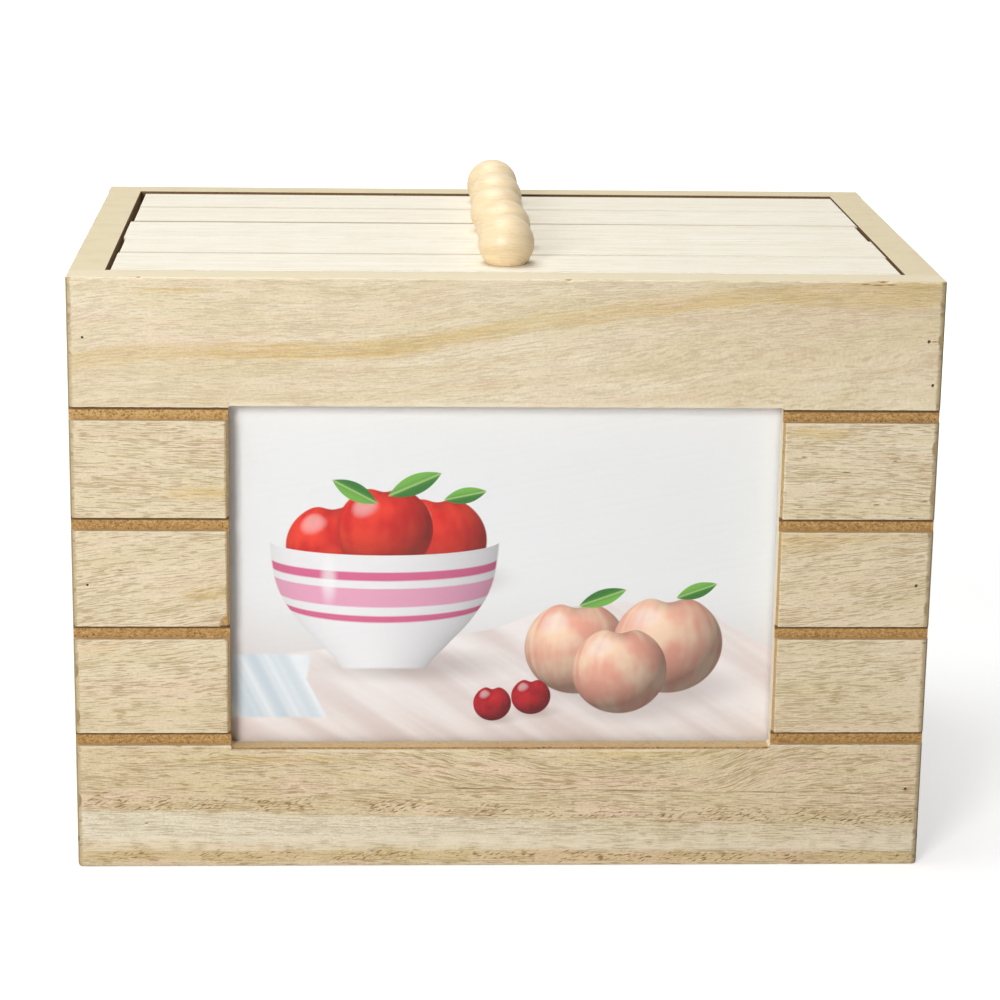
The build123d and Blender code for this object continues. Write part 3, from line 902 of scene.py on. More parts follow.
inputs = [("Aside", "Float"), ("Up", "Float"), ("Dip", "Float"), ("Seed", "Float")]
inputs += [("Skin", "Color"), ("Blush", "Color")]
outputs = [("Colour", "Color"), ("Mask", "Float")]
tree, given, made = new_tree("round_fruit", "ShaderNodeTree", inputs, outputs)
aside, up = given["Aside"], given["Up"]
narrow = aside * aside * -16.0
sunk = calc("EXPONENT", narrow) * given["Dip"]
height = up + sunk * step(up, 0.2, 0.9)
reach = aside * aside + height * height
bulge = calc("SQRT", calc("MAXIMUM", 1.0 - reach, 0.0))
facing = aside * LIGHT_FROM[0] + height * LIGHT_FROM[1] + bulge * LIGHT_FROM[2]
round_about = aside / (bulge + 0.35)
stripes = noise(round_about * 3.2, height * 0.9, given["Seed"], 3.0, 0.5)
blotch = noise(aside * 1.3, height * 1.3, given["Seed"], 2.0)
mixed = step(stripes * 0.5 + blotch * 0.6, 0.42, 0.68)
skin = tint(mixed, given["Skin"], given["Blush"])
light = calc("MAXIMUM", facing, 0.0) * 0.85 + 0.28
skin = shaded(skin, light)
gloss = step(facing, 0.93, 0.995)
skin = tint(gloss * 0.35, skin, (1.0, 0.97, 0.95, 1.0))
shade_in_dip = sunk * step(up, 0.55, 1.0) * 2.6
skin = tint(calc("MINIMUM", shade_in_dip, 0.6), skin, paint(70, 30, 24))
feed(made["Colour"], skin)
feed(made["Mask"], 1.0 - step(reach, 0.96, 1.02))
print("groups:", [group.name for group in bpy.data.node_groups])

# %% Shapes of the still life: places in millimetres from the print's middle
PRINT_MIDDLE = 81.35
PRINT_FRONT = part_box("window_print")[0].y / MM
APPLE_RED = (paint(214, 34, 30), paint(240, 66, 44))
CHERRY_RED = (paint(170, 18, 32), paint(204, 34, 44))
PEACH = (paint(250, 216, 186), paint(240, 172, 150))
FRUITS = (
    # aside, up, radius, share of height to width, dip at the stalk, colours
    (-46.0, 7.5, 12.5, 0.94, 0.14, APPLE_RED),
    (-18.0, 9.0, 13.5, 0.93, 0.15, APPLE_RED),
    (-32.0, 12.0, 13.0, 0.95, 0.15, APPLE_RED),
)
FRUITS_IN_FRONT = (
    (20.0, -21.0, 14.0, 0.95, 0.16, PEACH),
    (45.0, -20.0, 15.0, 0.94, 0.17, PEACH),
    (32.0, -27.5, 13.0, 0.96, 0.16, PEACH),
    (8.0, -35.0, 5.4, 0.96, 0.2, CHERRY_RED),
    (-2.5, -37.0, 5.2, 0.97, 0.2, CHERRY_RED),
)
LEAVES = (
    # aside, up, half length, half width, turn in degrees
    (-24.0, 24.5, 8.0, 2.9, 24),
    (-40.0, 22.5, 7.0, 2.6, 152),
    (-10.5, 21.5, 6.0, 2.3, 12),
    (27.0, -7.0, 7.0, 2.4, 200),
    (52.5, -5.0, 6.0, 2.2, 20),
)
BOWL = (-32.0, 9.0)               # middle, and height of the rim
BOWL_BANDS = (
    # height, half width, colour
    (3.0, 1.2, paint(226, 110, 152)),
    (-3.0, 2.6, paint(240, 172, 198)),
    (-9.0, 0.9, paint(226, 110, 152)),
)
BOWL_OUTLINE = [(-27, 11.5), (-25.5, 12.5), (-20, 17.5), (-12, 24.5), (-4, 29.0), (4, 30.6), (9, 31.0)]
NAPKIN = ((0.5, -79), (-0.2, -58))  # lean and place of its two layers
CLOTH_EDGE = [(-77, -27), (-55, -22), (-30, -20), (-5, -16), (20, -9), (45, -8), (62, -15), (77, -24)]
print("fruit:", len(FRUITS) + len(FRUITS_IN_FRONT), "leaves:", len(LEAVES))

# %% [markdown]
# A painter works from the back to the front, and so do the helpers: each takes the colour that is there,
# lays its own shape and shadow over it, and hands the result back.

# %% Paint a fruit, a leaf and the bowl


def lay_fruit(below, aside, up, fruit, seed):
    """Paint one fruit and its shadow over what is there."""
    x, z, radius, squat, dip, (skin, blush) = fruit
    shadow = soft_spot(aside, up, (x + radius * 0.3, z - radius * 0.8), (radius * 1.5, radius * 0.5))
    below = tint(shadow * 0.35, below, paint(150, 128, 122))
    inputs = {
        "Aside": (aside - x) / radius,
        "Up": (up - z) / (radius * squat),
        "Dip": dip,
        "Seed": seed,
        "Skin": skin,
        "Blush": blush,
    }
    fruit_made = use_group("round_fruit", inputs)
    return tint(fruit_made["Mask"], below, fruit_made["Colour"])


def lay_leaf(below, aside, up, leaf):
    """Paint one pointed leaf with a pale midrib."""
    x, z, length, width, turn = leaf
    cosine, sine = math.cos(math.radians(turn)), math.sin(math.radians(turn))
    from_x, from_z = aside - x, up - z
    along = (from_x * cosine + from_z * sine) / length
    across = (from_x * -sine + from_z * cosine) / width
    edge = 1.0 - along * along
    inside = edge - abs(across)
    green = tint(step(across, -0.5, 0.6), paint(58, 122, 50), paint(122, 184, 78))
    rib = 1.0 - step(abs(across), 0.04, 0.16)
    green = tint(rib * 0.6, green, paint(186, 216, 140))
    return tint(step(inside, 0.0, 0.1), below, green)


def lay_bowl(below, aside, up):
    """Paint a white bowl with three pink bands."""
    middle, rim = BOWL
    across = (aside - middle) / curve(up, BOWL_OUTLINE)
    inside = 1.0 - abs(across)
    bulge = calc("SQRT", calc("MAXIMUM", 1.0 - across * across, 0.0))
    level = up + bulge * 4.2
    mask = step(inside, 0.0, 0.02) * step(up, -27.5, -26.5) * (level < rim)
    facing = across * LIGHT_FROM[0] + bulge * 0.85
    light = facing * 0.4 + 0.6
    glaze = paint(246, 244, 245)
    for height, half_band, pink in BOWL_BANDS:
        glaze = tint(soft_band(level, height, half_band, 0.3), glaze, pink)
    glaze = shaded(glaze, light)
    shine = soft_spot(aside, up, (middle - 15, -2), (3.0, 9.0))
    glaze = tint(shine * 0.6, glaze, (1.0, 1.0, 1.0, 1.0))
    shadow = soft_spot(aside, up, (middle + 8, -26), (34, 6.5))
    below = tint(shadow * 0.45, below, paint(150, 132, 128))
    return tint(mask, below, glaze)


print("shapes: lay_fruit, lay_leaf, lay_bowl")

# %% Put the print together


def picture_finish():
    """A glossy print of the still life, with a plain white back."""
    material, shader, (x, y, z) = new_finish("photo_print", Roughness=0.28, IOR=1.48, Specular_IOR_Level=0.2)
    aside, up = x, z - PRINT_MIDDLE
    wall = noise(aside / 60, up / 60, 4.0)
    colour = tint(wall, paint(242, 243, 242), paint(237, 238, 238))
    table = step(up, -2.0, -34.0)
    colour = tint(table * 0.9, colour, paint(222, 214, 212))
    cloth_edge = curve(aside, CLOTH_EDGE)
    cloth = step(cloth_edge - up, 0.0, 0.5)
    folds = aside / 13 + up / 9
    fold = noise(folds, up / 50, 6.0, 3.0, 0.45)
    linen = tint(step(fold, 0.34, 0.66), paint(228, 214, 209), paint(246, 239, 236))
    colour = tint(cloth, colour, linen)
    folded = [soft_band(aside + up * lean, place, 11.0, 0.5) for lean, place in NAPKIN]
    napkin = calc("MAXIMUM", *folded) * soft_band(up, -32.0, 9.0, 0.6)
    crease = noise(aside / 7 + up / 14, 1.0, 2.0, 2.0)
    cotton = tint(step(crease, 0.35, 0.65), paint(206, 218, 226), paint(242, 246, 248))
    colour = tint(napkin, colour, cotton)
    for number, fruit in enumerate(FRUITS):
        colour = lay_fruit(colour, aside, up, fruit, number * 3.0)
    for leaf in LEAVES[:3]:
        colour = lay_leaf(colour, aside, up, leaf)
    colour = lay_bowl(colour, aside, up)
    for number, fruit in enumerate(FRUITS_IN_FRONT, start=len(FRUITS)):
        colour = lay_fruit(colour, aside, up, fruit, number * 3.0)
    for leaf in LEAVES[3:]:
        colour = lay_leaf(colour, aside, up, leaf)
    behind = step(y, PRINT_FRONT + 0.05, PRINT_FRONT + 0.15)
    fibre = noise(x / 2, 0.0, z / 2, 3.0)
    colour = tint(behind, colour, tint(fibre, paint(238, 237, 232), paint(246, 245, 241)))
    curl = noise(aside / 70, up / 50, 9.0, 1.0)
    give(shader, colour, curl, 0.3, curl * 0.1 + 0.24)
    return material


PHOTO_PRINT = picture_finish()
print("finish:", PHOTO_PRINT.name, "with", len(PHOTO_PRINT.node_tree.nodes), "nodes")

# %% [markdown]
# ## Dress the joiner's parts
#
# Most parts keep the joiner's shape and only need their finish, so each is given the material of its
# name's last word.

# %% Give each kept part its material
FINISH_OF = {
    "panel": FIBREBOARD,
    "brads": BLUED_STEEL,
    "screw": STEEL,
    "screws": STEEL,
    "header": HEADER_WOOD,
    "knob": KNOB_WOOD,
    "cover": COVER_BOARD,
    "leaves": LEAF_FILM,
    "posts": POST_METAL,
    "pane": CLEAR_PLASTIC,
    "print": PHOTO_PRINT,
    "board": HARDBOARD,
    "left_veneer": LEFT_VENEER,
    "right_veneer": RIGHT_VENEER,
    "back_veneer": BACK_VENEER,
}


def finish_for(name):
    """The material for a joiner's part, by its whole name or by its last word."""
    if name.startswith("turn_button"):
        return STEEL
    if name.startswith("front_veneer"):
        return FRONT_VENEER
    return FINISH_OF.get(name) or FINISH_OF.get(name.split("_")[-1])


for name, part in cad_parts.items():
    finish = finish_for(name)
    if finish:
        part.data.materials.clear()
        part.data.materials.append(finish)
print("not dressed yet:", [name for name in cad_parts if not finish_for(name)])

# %% [markdown]
# ## Ragged veneer on the front wall
#
# The real veneer is thin and brittle.  Sanding has feathered its upright edges, and the saw and the
# router have left small chips along every cut.  The joiner's sheets have clean edges, so each is made
# again here: its outline is drawn at seven depths between its face and its back, each time with the
# edges as far back as the sanding takes them there, it is nibbled inward by seeded chips and bitten where
# the photograph shows a large one, and the outlines are joined up and closed in front and behind.

# %% Corners of the sheets
WINDOW_LOW = 33.9
WINDOW_HIGH = 128.8
WINDOW_STEP = 0.7                 # a corner of the window leaves the groove's line over this width
GROOVE_HEIGHT = 2 * GROOVE_HALF
GROOVE_TOPS = [GROOVE_MIDDLE + GROOVE_HALF + row * GROOVE_PITCH for row in range(4)]
UPRIGHT_EASED = 1.6               # radius that sanding leaves on the upright edges
EASED = 0.5                       # on the top and bottom edges
CUT_EASED = 0.15                  # on the edges along the grooves
SLOPE_DEPTH = 1.2                 # the window's edges slope back over this depth ...
SIDE_SLOPE = 0.9                  # ... by this much at its sides ...
SILL_SLOPE = 0.45                 # ... and by this much at its foot
VENEER = 0.4                      # thickness of a sheet
DEPTHS = (0.0, 0.03, 0.08, 0.15, 0.24, 0.32, VENEER)


def eased(radius, depth):
    """How far a rounded edge stands back at a depth below the face."""
    below = max(radius - depth, 0.0)
    return radius - math.sqrt(radius**2 - below**2)


def top_sheet(depth):
    """Corners of the top sheet at a depth, anticlockwise, each with the reach of its bend."""
    side = HALF_WIDTH - eased(UPRIGHT_EASED, depth)
    top = CASE_TOP - eased(EASED, depth)
    low = GROOVE_TOPS[3] + eased(CUT_EASED, depth)
    window = WINDOW_HIGH + eased(CUT_EASED, depth)
    inner = WINDOW_HALF - WINDOW_STEP
    corners = [(-side, low, 0.2), (-WINDOW_HALF, low, 0.1), (-inner, window, 0.3), (inner, window, 0.3)]
    return corners + [(WINDOW_HALF, low, 0.1), (side, low, 0.2), (side, top, 0.35), (-side, top, 0.35)]


def bottom_sheet(depth):
    """Corners of the bottom sheet, whose two lower corners are rounded off."""
    side = HALF_WIDTH - eased(UPRIGHT_EASED, depth)
    low = eased(EASED, depth)
    top = GROOVE_TOPS[0] - GROOVE_HEIGHT - eased(CUT_EASED, depth)
    sill = WINDOW_LOW - SILL_SLOPE * (1 - depth / SLOPE_DEPTH)
    inner = WINDOW_HALF - WINDOW_STEP
    corners = [(-side, low, 1.2), (side, low, 1.2), (side, top, 0.2), (WINDOW_HALF, top, 0.15)]
    return corners + [(inner, sill, 0.4), (-inner, sill, 0.4), (-WINDOW_HALF, top, 0.15), (-side, top, 0.2)]


def short_sheet(row, side):
    """Corners of a short sheet beside the window, as a function of the depth."""

    def corners(depth):
        outer = HALF_WIDTH - eased(UPRIGHT_EASED, depth)
        inner = WINDOW_HALF + SIDE_SLOPE * (1 - depth / SLOPE_DEPTH)
        low = GROOVE_TOPS[row] + eased(CUT_EASED, depth)
        top = GROOVE_TOPS[row + 1] - GROOVE_HEIGHT - eased(CUT_EASED, depth)
        left, right = sorted((side * outer, side * inner))
        return [(left, low, 0.2), (right, low, 0.2), (right, top, 0.2), (left, top, 0.2)]

    return corners


print("front face at y =", round(FACE, 2), "mm, sheets", VENEER, "mm thick")

# %% Points round a sheet
OUTLINE_STEP = 0.35               # distance between points of an outline
BEND_PARTS = 4


def bend(before, corner, after, reach):
    """Points of a smooth bend that starts and ends at the reach from its corner."""
    start = corner + (before - corner).normalized() * reach
    end = corner + (after - corner).normalized() * reach
    shares = [part / BEND_PARTS for part in range(BEND_PARTS + 1)]
    return [start.lerp(corner, share).lerp(corner.lerp(end, share), share) for share in shares]


def outline(corners, counts):
    """Points round a sheet: a bend at each corner, and evenly spaced points between bends."""
    places = [Vector(corner[:2]) for corner in corners]
    bends = []
    for at, (place, corner) in enumerate(zip(places, corners)):
        after = places[(at + 1) % len(places)]
        bends.append(bend(places[at - 1], place, after, corner[2]))
    points = []
    for at, count in enumerate(counts):
        start, end = bends[at][-1], bends[(at + 1) % len(bends)][0]
        points += bends[at]
        points += [start.lerp(end, part / count) for part in range(1, count)]
    return points


def run_counts(corners):
    """How many steps fit in each straight run of an outline."""
    counts = []
    for at, corner in enumerate(corners):
        after = corners[(at + 1) % len(corners)]
        length = math.dist(corner[:2], after[:2])
        counts.append(max(1, round(length / OUTLINE_STEP)))
    return counts


print("points round the top sheet:", sum(run_counts(top_sheet(VENEER))))

# %% Chips along the cuts
LARGE_CHIPS = (
    # middle of a round bite, aside and up, and its radius
    (-71.2, 67.8, 5.1),
    (-96.0, 163.9, 1.7),
    (15.5, 163.9, 1.75),
    (98.0, 167.0, 4.9),
    (93.6, 126.2, 1.9),
    (116.8, 147.2, 3.6),
    (116.8, 118.0, 3.7),
    (116.8, 104.5, 3.75),
    (115.9, 95.4, 3.0),
    (116.8, 73.5, 3.65),
    (-116.8, 56.0, 3.65),
    (-116.8, 43.0, 3.75),
    (-116.8, 19.0, 3.65),
    (-72.9, 106.5, 1.7),
)
BITE_SLOPE = 0.5                  # a bite is this much smaller at the back of the sheet
CHIP_GAP = 3.2                    # average distance between small chips
UPRIGHT_CHIP = 0.34               # deepest small chip in a cut across the grain
LEVEL_CHIP = 0.09                 # and in a cut along the grain
CHIP_REACH = 5                    # points that a small chip takes up at most, each way
SAW_MARK = 0.03                   # unevenness of every cut
CHIP_FADE = 0.8                   # share of a small chip that is gone at the back of the sheet


def nibbled(points, rng):
    """How far each point of an outline is nibbled inward."""
    count = len(points)
    amounts = [0.0] * count
    for _ in range(round(count * OUTLINE_STEP / CHIP_GAP)):
        middle = rng.randrange(count)
        reach = rng.randint(1, CHIP_REACH)
        depth = rng.uniform(0.2, 1.0)
        for shift in range(-reach, reach + 1):
            at = (middle + shift) % count
            share = 1 - abs(shift) / (reach + 1)
            amounts[at] = max(amounts[at], depth * share)
    for at, point in enumerate(points):
        along = points[(at + 1) % count] - points[at - 1]
        upright = abs(along.y) > abs(along.x)
        deepest = UPRIGHT_CHIP if upright else LEVEL_CHIP
        amounts[at] = amounts[at] * deepest + rng.uniform(0, SAW_MARK)
    return amounts


def move_inward(points, amounts):
    """Move each point of an anticlockwise outline inward, square to the outline."""
    moved = []
    for at, (point, amount) in enumerate(zip(points, amounts)):
        along = (points[(at + 1) % len(points)] - points[at - 1]).normalized()
        moved.append(point + Vector((-along.y, along.x)) * amount)
    return moved


def bitten(points, smaller):
    """Push the points that lie in a large chip out to its edge."""
    for x, z, radius in LARGE_CHIPS:
        middle = Vector((x, z))
        edge = radius - smaller
        for at, point in enumerate(points):
            away = (point - middle).length
            if away < edge:
                points[at] = middle + (point - middle) * (edge / away)
    return points


print("large chips:", len(LARGE_CHIPS))

# %% [markdown]
# The brad heads are sunk through the veneer, so it has small torn holes over them.  A flat face with
# holes in it is cut into triangles between its outline and the holes.

# %% Brad holes, and faces with holes
HOLE_RADIUS = 0.42
LEFT_HOLES = 0.75                 # size of the holes on the left, as a share of that
HOLE_TEAR = 0.08                  # and how uneven they are
HOLE_POINTS = 14
ONLY_INSIDE = 1                   # kind of filling: what lies inside the outline
CLOSE = 1e-6                      # points nearer than this are one


def brad_hole(middle, rng):
    """Points round a brad hole, a little torn."""
    points = []
    for part in range(HOLE_POINTS):
        turn = 2 * math.pi * part / HOLE_POINTS
        radius = HOLE_RADIUS * (1.0 if middle[0] > 0 else LEFT_HOLES) + rng.uniform(0, HOLE_TEAR)
        points.append(Vector(middle) + Vector((math.cos(turn), math.sin(turn))) * radius)
    return points


def fill(loops):
    """Triangles between an outline and its round holes, as corner numbers over all the loops."""
    points, edges, loop_of = [], [], []
    for number, loop in enumerate(loops):
        start = len(points)
        edges += [(start + at, start + (at + 1) % len(loop)) for at in range(len(loop))]
        points += loop
        loop_of += [number] * len(loop)
    _, _, triangles, sources, _, _ = delaunay_2d_cdt(points, edges, [], ONLY_INSIDE, CLOSE)
    kept = []
    for triangle in triangles:
        corners = [sources[corner][0] for corner in triangle]
        touched = {loop_of[corner] for corner in corners}
        first, second, third = (points[corner] for corner in sorted(corners))
        in_hole = len(touched) == 1 and 0 not in touched and (second - first).cross(third - first) > 0
        if not in_hole:
            kept.append(corners)
    return kept


print("brad holes:", 2 * HOLE_RADIUS, "mm across, with", HOLE_POINTS, "points")

# %% Build the sheets


def sheet_mesh(corners_at, holes, rng):
    """Vertices and faces of one closed sheet of veneer."""
    counts = run_counts(corners_at(VENEER))
    amounts = nibbled(outline(corners_at(0.0), counts), rng)
    rings = []
    for depth in DEPTHS:
        fade = 1 - CHIP_FADE * depth / VENEER
        ring = outline(corners_at(depth), counts)
        ring = move_inward(ring, [amount * fade for amount in amounts])
        rings.append(bitten(ring, BITE_SLOPE * depth / VENEER))
    hole_rings = [brad_hole(middle, rng) for middle in holes]
    vertices, faces = [], []
    for ring, depth in zip(rings, DEPTHS):
        vertices += [(point.x, FACE + depth, point.y) for point in ring]
    count = len(rings[0])
    for level in range(len(DEPTHS) - 1):
        base = level * count
        for at in range(count):
            after = (at + 1) % count
            faces.append((base + at, base + after, base + count + after, base + count + at))
    starts = []
    for ring in hole_rings:
        starts.append(len(vertices))
        for depth in (0.0, VENEER):
            vertices += [(point.x, FACE + depth, point.y) for point in ring]
        for at in range(HOLE_POINTS):
            after = (at + 1) % HOLE_POINTS
            front, back = starts[-1], starts[-1] + HOLE_POINTS
            faces.append((front + after, front + at, back + at, back + after))
    for level, inner in ((0, 0), (len(DEPTHS) - 1, HOLE_POINTS)):
        index = [level * count + at for at in range(count)]
        for start in starts:
            index += [start + inner + at for at in range(HOLE_POINTS)]
        for face in fill([rings[level]] + hole_rings):
            faces.append(tuple(index[corner] for corner in face))
    return vertices, faces


def build_veneer(name, node, sheets, seed):
    """One piece of ragged veneer that stands for a joiner's part."""
    rng = random.Random(seed)
    vertices, faces = [], []
    for corners_at, holes in sheets:
        more_vertices, more_faces = sheet_mesh(corners_at, holes, rng)
        base = len(vertices)
        vertices += more_vertices
        faces += [tuple(base + corner for corner in face) for face in more_faces]
    mesh = bpy.data.meshes.new(name)
    mesh.from_pydata([Vector(vertex) * MM for vertex in vertices], [], faces)
    shape = bmesh.new()
    shape.from_mesh(mesh)
    bmesh.ops.recalc_face_normals(shape, faces=shape.faces)
    shape.to_mesh(mesh)
    shape.free()
    mesh.materials.append(FRONT_VENEER)
    piece = put_in_scene(name, mesh)
    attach(piece, BODY)
    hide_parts(node)


print("depths of each sheet:", len(DEPTHS))

# %% Lay the veneer on the wall
BRAD_X = 110.8
TOP_BRADS = [(-BRAD_X, 147.0), (BRAD_X, 147.0), (112.4, 135.2)]
MIDDLE_BRAD = 80.0
LOW_BRAD = 22.0
build_veneer("veneer_top", "front_veneer_top", [(top_sheet, TOP_BRADS)], 1)
build_veneer("veneer_bottom", "front_veneer_bottom", [(bottom_sheet, [(BRAD_X, LOW_BRAD)])], 2)
for word, side, seed in (("left", -1, 3), ("right", 1, 4)):
    holes = ([], [(side * BRAD_X, MIDDLE_BRAD)], [])
    sheets = [(short_sheet(row, side), holes[row]) for row in range(3)]
    build_veneer("veneer_" + word, "front_veneer_" + word, sheets, seed)

# %% [markdown]
# ## Knobs
#
# Each knob came off a lathe: a ball, cut flat where it sits on its header, with rings too fine to feel.
# That is a rule, not a drawing, so a geometry tree makes it: a ball, its foot pressed flat at the seat,
# and a faint ripple of rings round its upright axis.  The same tree makes all five, each with a seed
# of its own.

# %% Run a geometry tree


def grow(name, tree, values):
    """Run a geometry tree with these input values and keep what it makes as a plain mesh object."""
    maker = put_in_scene(name + "_maker", bpy.data.meshes.new(name + "_start"))
    modifier = maker.modifiers.new("shape", "NODES")
    modifier.node_group = tree
    for socket in tree.interface.items_tree:
        if socket.in_out == "INPUT" and socket.name in values:
            modifier[socket.identifier] = values[socket.name]
    maker.update_tag()
    ready = maker.evaluated_get(bpy.context.evaluated_depsgraph_get())
    mesh = bpy.data.meshes.new_from_object(ready)
    bpy.data.objects.remove(maker)
    mesh.name = name
    return put_in_scene(name, mesh)


print("tree runner ready")

# %% Tree of a turned knob
BALL_RADIUS = 7.5
BALL_SEAT = 5.5                   # height of the ball's centre above its header
RING_PITCH = 0.5
RING_DEPTH = 0.012
HAND_SCALE = 160.0                # uneven spots of the turner's hand, for each metre
HAND_DEPTH = 0.008                # and their share of the radius

inputs = [("Geometry", "Geometry"), ("Radius", "Float"), ("Seat", "Float"), ("Place", "Vector")]
inputs += [("Seed", "Float"), ("Finish", "Material")]
tree, given, made = new_tree("turned_knob", "GeometryNodeTree", inputs, [("Geometry", "Geometry")])
ball = add("GeometryNodeMeshUVSphere", {"Segments": 96, "Rings": 72, "Radius": given["Radius"]})
here = add("GeometryNodeInputPosition")
height = split(here)[2]
ring = calc("SINE", height * (2 * math.pi / (RING_PITCH * MM)))
noise_inputs = {"Vector": here, "Scale": HAND_SCALE, "Detail": 2.0, "W": given["Seed"]}
hand = add("ShaderNodeTexNoise", noise_inputs, noise_dimensions="4D")
stretch = 1.0 + ring * (RING_DEPTH / BALL_RADIUS / 4) + (hand - 0.55) * HAND_DEPTH
stretch = calc("MINIMUM", stretch, 1.0)
shaped = add("ShaderNodeVectorMath", {0: here, "Scale": stretch}, operation="SCALE")
x, y, z = split(shaped)
foot = given["Seat"] * -1.0
pressed = join(x, y, calc("MAXIMUM", z, foot))
moved = add("GeometryNodeSetPosition", {"Geometry": ball, "Position": pressed})
normal = split(add("GeometryNodeInputNormal"))[2]
curved = add("FunctionNodeCompare", {0: normal, 1: -0.99}, operation="GREATER_THAN")
smooth = add("GeometryNodeSetShadeSmooth", {"Geometry": moved, "Shade Smooth": curved})
placed = add("GeometryNodeTransform", {"Geometry": smooth, "Translation": given["Place"]})
real = add("GeometryNodeRealizeInstances", {"Geometry": placed})
inputs = {"Geometry": real, "Material": given["Finish"]}
feed(made["Geometry"], add("GeometryNodeSetMaterial", inputs))
print("nodes in the tree:", len(tree.nodes))

# %% Make the knobs
for number in range(1, 6):
    low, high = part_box(f"album_{number}_knob")
    middle = (low + high) / 2
    middle.z = low.z + BALL_SEAT * MM
    values = {
        "Radius": BALL_RADIUS * MM,
        "Seat": BALL_SEAT * MM,
        "Place": middle,
        "Seed": float(number),
        "Finish": KNOB_WOOD,
    }
    knob = grow(f"knob_{number}", tree, values)
    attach(knob, f"album_{number}")
    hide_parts(f"album_{number}_knob")
print("knob faces:", len(knob.data.polygons))

# %% [markdown]
# ## Leaves of an album
#
# Twenty-eight film pockets are bound under each header.  They are cut to one size, but never lie quite
# in line, so a tree lays copies of one leaf along a row and shifts each a little, seeded by the album.

# %% Tree of bound leaves
LEAF_COUNT = 28
LEAF_PLAY = 0.45                  # how far a leaf may lie out of line
LEAF_THICKNESS = 0.42
LEAF_CORNER = 2.0
CORNER_PARTS = 5
END_ROOM = 0.5                    # room that the row leaves at its two ends together
WELD = 1e-6

inputs = [("Geometry", "Geometry"), ("Length", "Float"), ("Height", "Float"), ("Thickness", "Float")]
inputs += [("Corner", "Float"), ("Count", "Int"), ("Pitch", "Float"), ("Play", "Float")]
inputs += [("Place", "Vector"), ("Seed", "Int"), ("Finish", "Material")]
tree, given, made = new_tree("bound_leaves", "GeometryNodeTree", inputs, [("Geometry", "Geometry")])
inputs = {"Width": given["Length"], "Height": given["Height"]}
edge = add("GeometryNodeCurvePrimitiveQuadrilateral", inputs)
inputs = {"Curve": edge, "Count": CORNER_PARTS, "Radius": given["Corner"]}
rounded = add("GeometryNodeFilletCurve", inputs, mode="POLY")
filled = add("GeometryNodeFillCurve", {"Curve": rounded}, mode="NGONS")
back = add("GeometryNodeFlipFaces", {"Mesh": filled})
inputs = {"Mesh": filled, "Offset": (0, 0, 1), "Offset Scale": given["Thickness"], "Individual": False}
thick = add("GeometryNodeExtrudeMesh", inputs)
both = add_node("GeometryNodeJoinGeometry")
feed(both.inputs[0], thick)
feed(both.inputs[0], back)
leaf = add("GeometryNodeMergeByDistance", {"Geometry": Value(both.outputs[0]), "Distance": WELD})
reach = (given["Count"] - 1.0) * given["Pitch"] * 0.5
first = given["Thickness"] * 0.5 - reach
inputs = {"Count": given["Count"], "Start Location": join(0.0, first), "Offset": join(0.0, given["Pitch"])}
row = add("GeometryNodeMeshLine", inputs)
less = given["Play"] * -1.0
inputs = {"Min": join(less, 0.0, less), "Max": join(given["Play"], 0.0), "Seed": given["Seed"]}
strewn = add("FunctionNodeRandomValue", inputs, data_type="FLOAT_VECTOR")
loose = add("GeometryNodeSetPosition", {"Geometry": row, "Offset": strewn})
inputs = {"Points": loose, "Instance": leaf, "Rotation": (math.pi / 2, 0, 0)}
copies = add("GeometryNodeInstanceOnPoints", inputs)
placed = add("GeometryNodeTransform", {"Geometry": copies, "Translation": given["Place"]})
real = add("GeometryNodeRealizeInstances", {"Geometry": placed})
inputs = {"Geometry": real, "Material": given["Finish"]}
feed(made["Geometry"], add("GeometryNodeSetMaterial", inputs))
print("nodes in the tree:", len(tree.nodes))

# %% Bind the leaves
for number in range(1, 6):
    low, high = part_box(f"album_{number}_leaves")
    size = high - low
    values = {
        "Length": size.x - 2 * LEAF_PLAY * MM,
        "Height": size.z - LEAF_PLAY * MM,
        "Thickness": LEAF_THICKNESS * MM,
        "Corner": LEAF_CORNER * MM,
        "Count": LEAF_COUNT,
        "Pitch": (size.y - END_ROOM * MM) / (LEAF_COUNT - 1),
        "Play": LEAF_PLAY * MM,
        "Place": (low + high) / 2 + Vector((0, 0, LEAF_PLAY * MM / 2)),
        "Seed": number,
        "Finish": LEAF_FILM,
    }
    leaves = grow(f"leaves_{number}", tree, values)
    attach(leaves, f"album_{number}")
    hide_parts(f"album_{number}_leaves")
print("leaf faces:", len(leaves.data.polygons))

# %% [markdown]
# ## A white studio
#
# The photograph was taken in a white sweep with large soft lights, the strongest at the upper left.
# The floor stays a real surface that takes the box's soft shadow; only what the camera sees directly
# is lifted to white, in its material and in the world, so no extra light falls on the box.

# %% Lights


def soft_light(name, place, target, size, power):
    """A square soft light that points at a target."""
    lamp = bpy.data.lights.new(name, "AREA")
    lamp.size = size
    lamp.energy = power
    light = put_in_scene(name, lamp)
    light.location = place
    light.rotation_euler = (Vector(target) - Vector(place)).to_track_quat("-Z", "Y").to_euler()


KEY_PLACE = (-0.45, -1.06, 0.5)   # left of the camera, so the window's left side shades the print
KEY_TARGET = (0, -0.075, 0.09)
KEY_SIZE = 0.34
KEY_POWER = 9.3
TOP_PLACE = (-0.2, 0.1, 1.25)
TOP_TARGET = (0, 0, 0.16)
TOP_SIZE = 0.8
TOP_POWER = 10.2

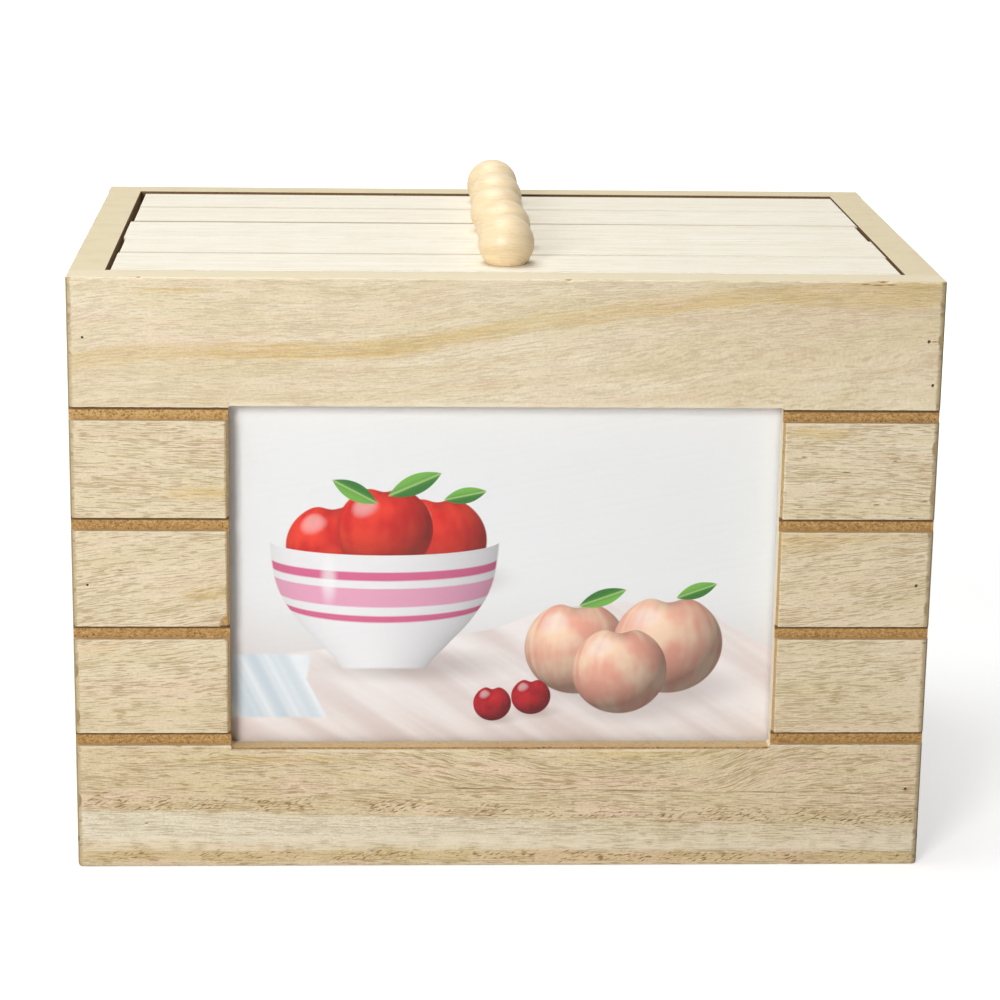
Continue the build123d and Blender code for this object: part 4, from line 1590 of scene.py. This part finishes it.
soft_light("key_light", KEY_PLACE, KEY_TARGET, KEY_SIZE, KEY_POWER)
soft_light("top_light", TOP_PLACE, TOP_TARGET, TOP_SIZE, TOP_POWER)
print("lights:", [light.name for light in bpy.data.lights])

# %% World and floor
FILL = 0.08                       # light from all round, as a share of a white room
FILL_TINT = (0.96, 0.98, 1.0, 1.0)
WHITE = (1.0, 1.0, 1.0, 1.0)
FLOOR_SIZE = 6.0                  # metres
FLOOR_DROP = 0.0001               # the floor lies this far under the box, so the two never mix
NEAR_GLOW = 0.55                  # how far the floor is lifted to white, close to the box
SWEEP = (250.0, 700.0)            # the lift grows between these distances, in millimetres, to pure white


def seen_directly():
    """1 for what the camera, a reflection or a clear pane shows of the background."""
    path = by_name(add_node("ShaderNodeLightPath"))
    seen = calc("MAXIMUM", path["Is Camera Ray"], path["Is Glossy Ray"])
    return calc("MAXIMUM", seen, path["Is Transmission Ray"])


world = bpy.data.worlds.new("white_studio")
bpy.context.scene.world = world
world.use_nodes = True
start_wiring(world.node_tree)
background = world.node_tree.nodes["Background"]
seen = seen_directly()
feed(background.inputs["Color"], tint(seen, FILL_TINT, WHITE))
feed(background.inputs["Strength"], pick(seen, FILL, 1.0))

half = FLOOR_SIZE / 2
corners = [(-half, -half, -FLOOR_DROP), (half, -half, -FLOOR_DROP)]
corners += [(half, half, -FLOOR_DROP), (-half, half, -FLOOR_DROP)]
sheet = bpy.data.meshes.new("studio_floor")
sheet.from_pydata(corners, [], [(0, 1, 2, 3)])
floor = put_in_scene("studio_floor", sheet)
floor_paper, shader, (x, y, z) = new_finish("floor_paper", Roughness=0.9)
tooth = noise(x / 4, y / 4, 0.0, 3.0)
feed(shader.inputs["Base Color"], tint(tooth, paint(214, 214, 214), paint(222, 222, 222)))
shader.inputs["Emission Color"].default_value = WHITE
far = step(calc("SQRT", x * x + y * y), *SWEEP)
feed(shader.inputs["Emission Strength"], seen_directly() * pick(far, NEAR_GLOW, 1.0))
sheet.materials.append(floor_paper)
print("floor:", FLOOR_SIZE, "m wide")
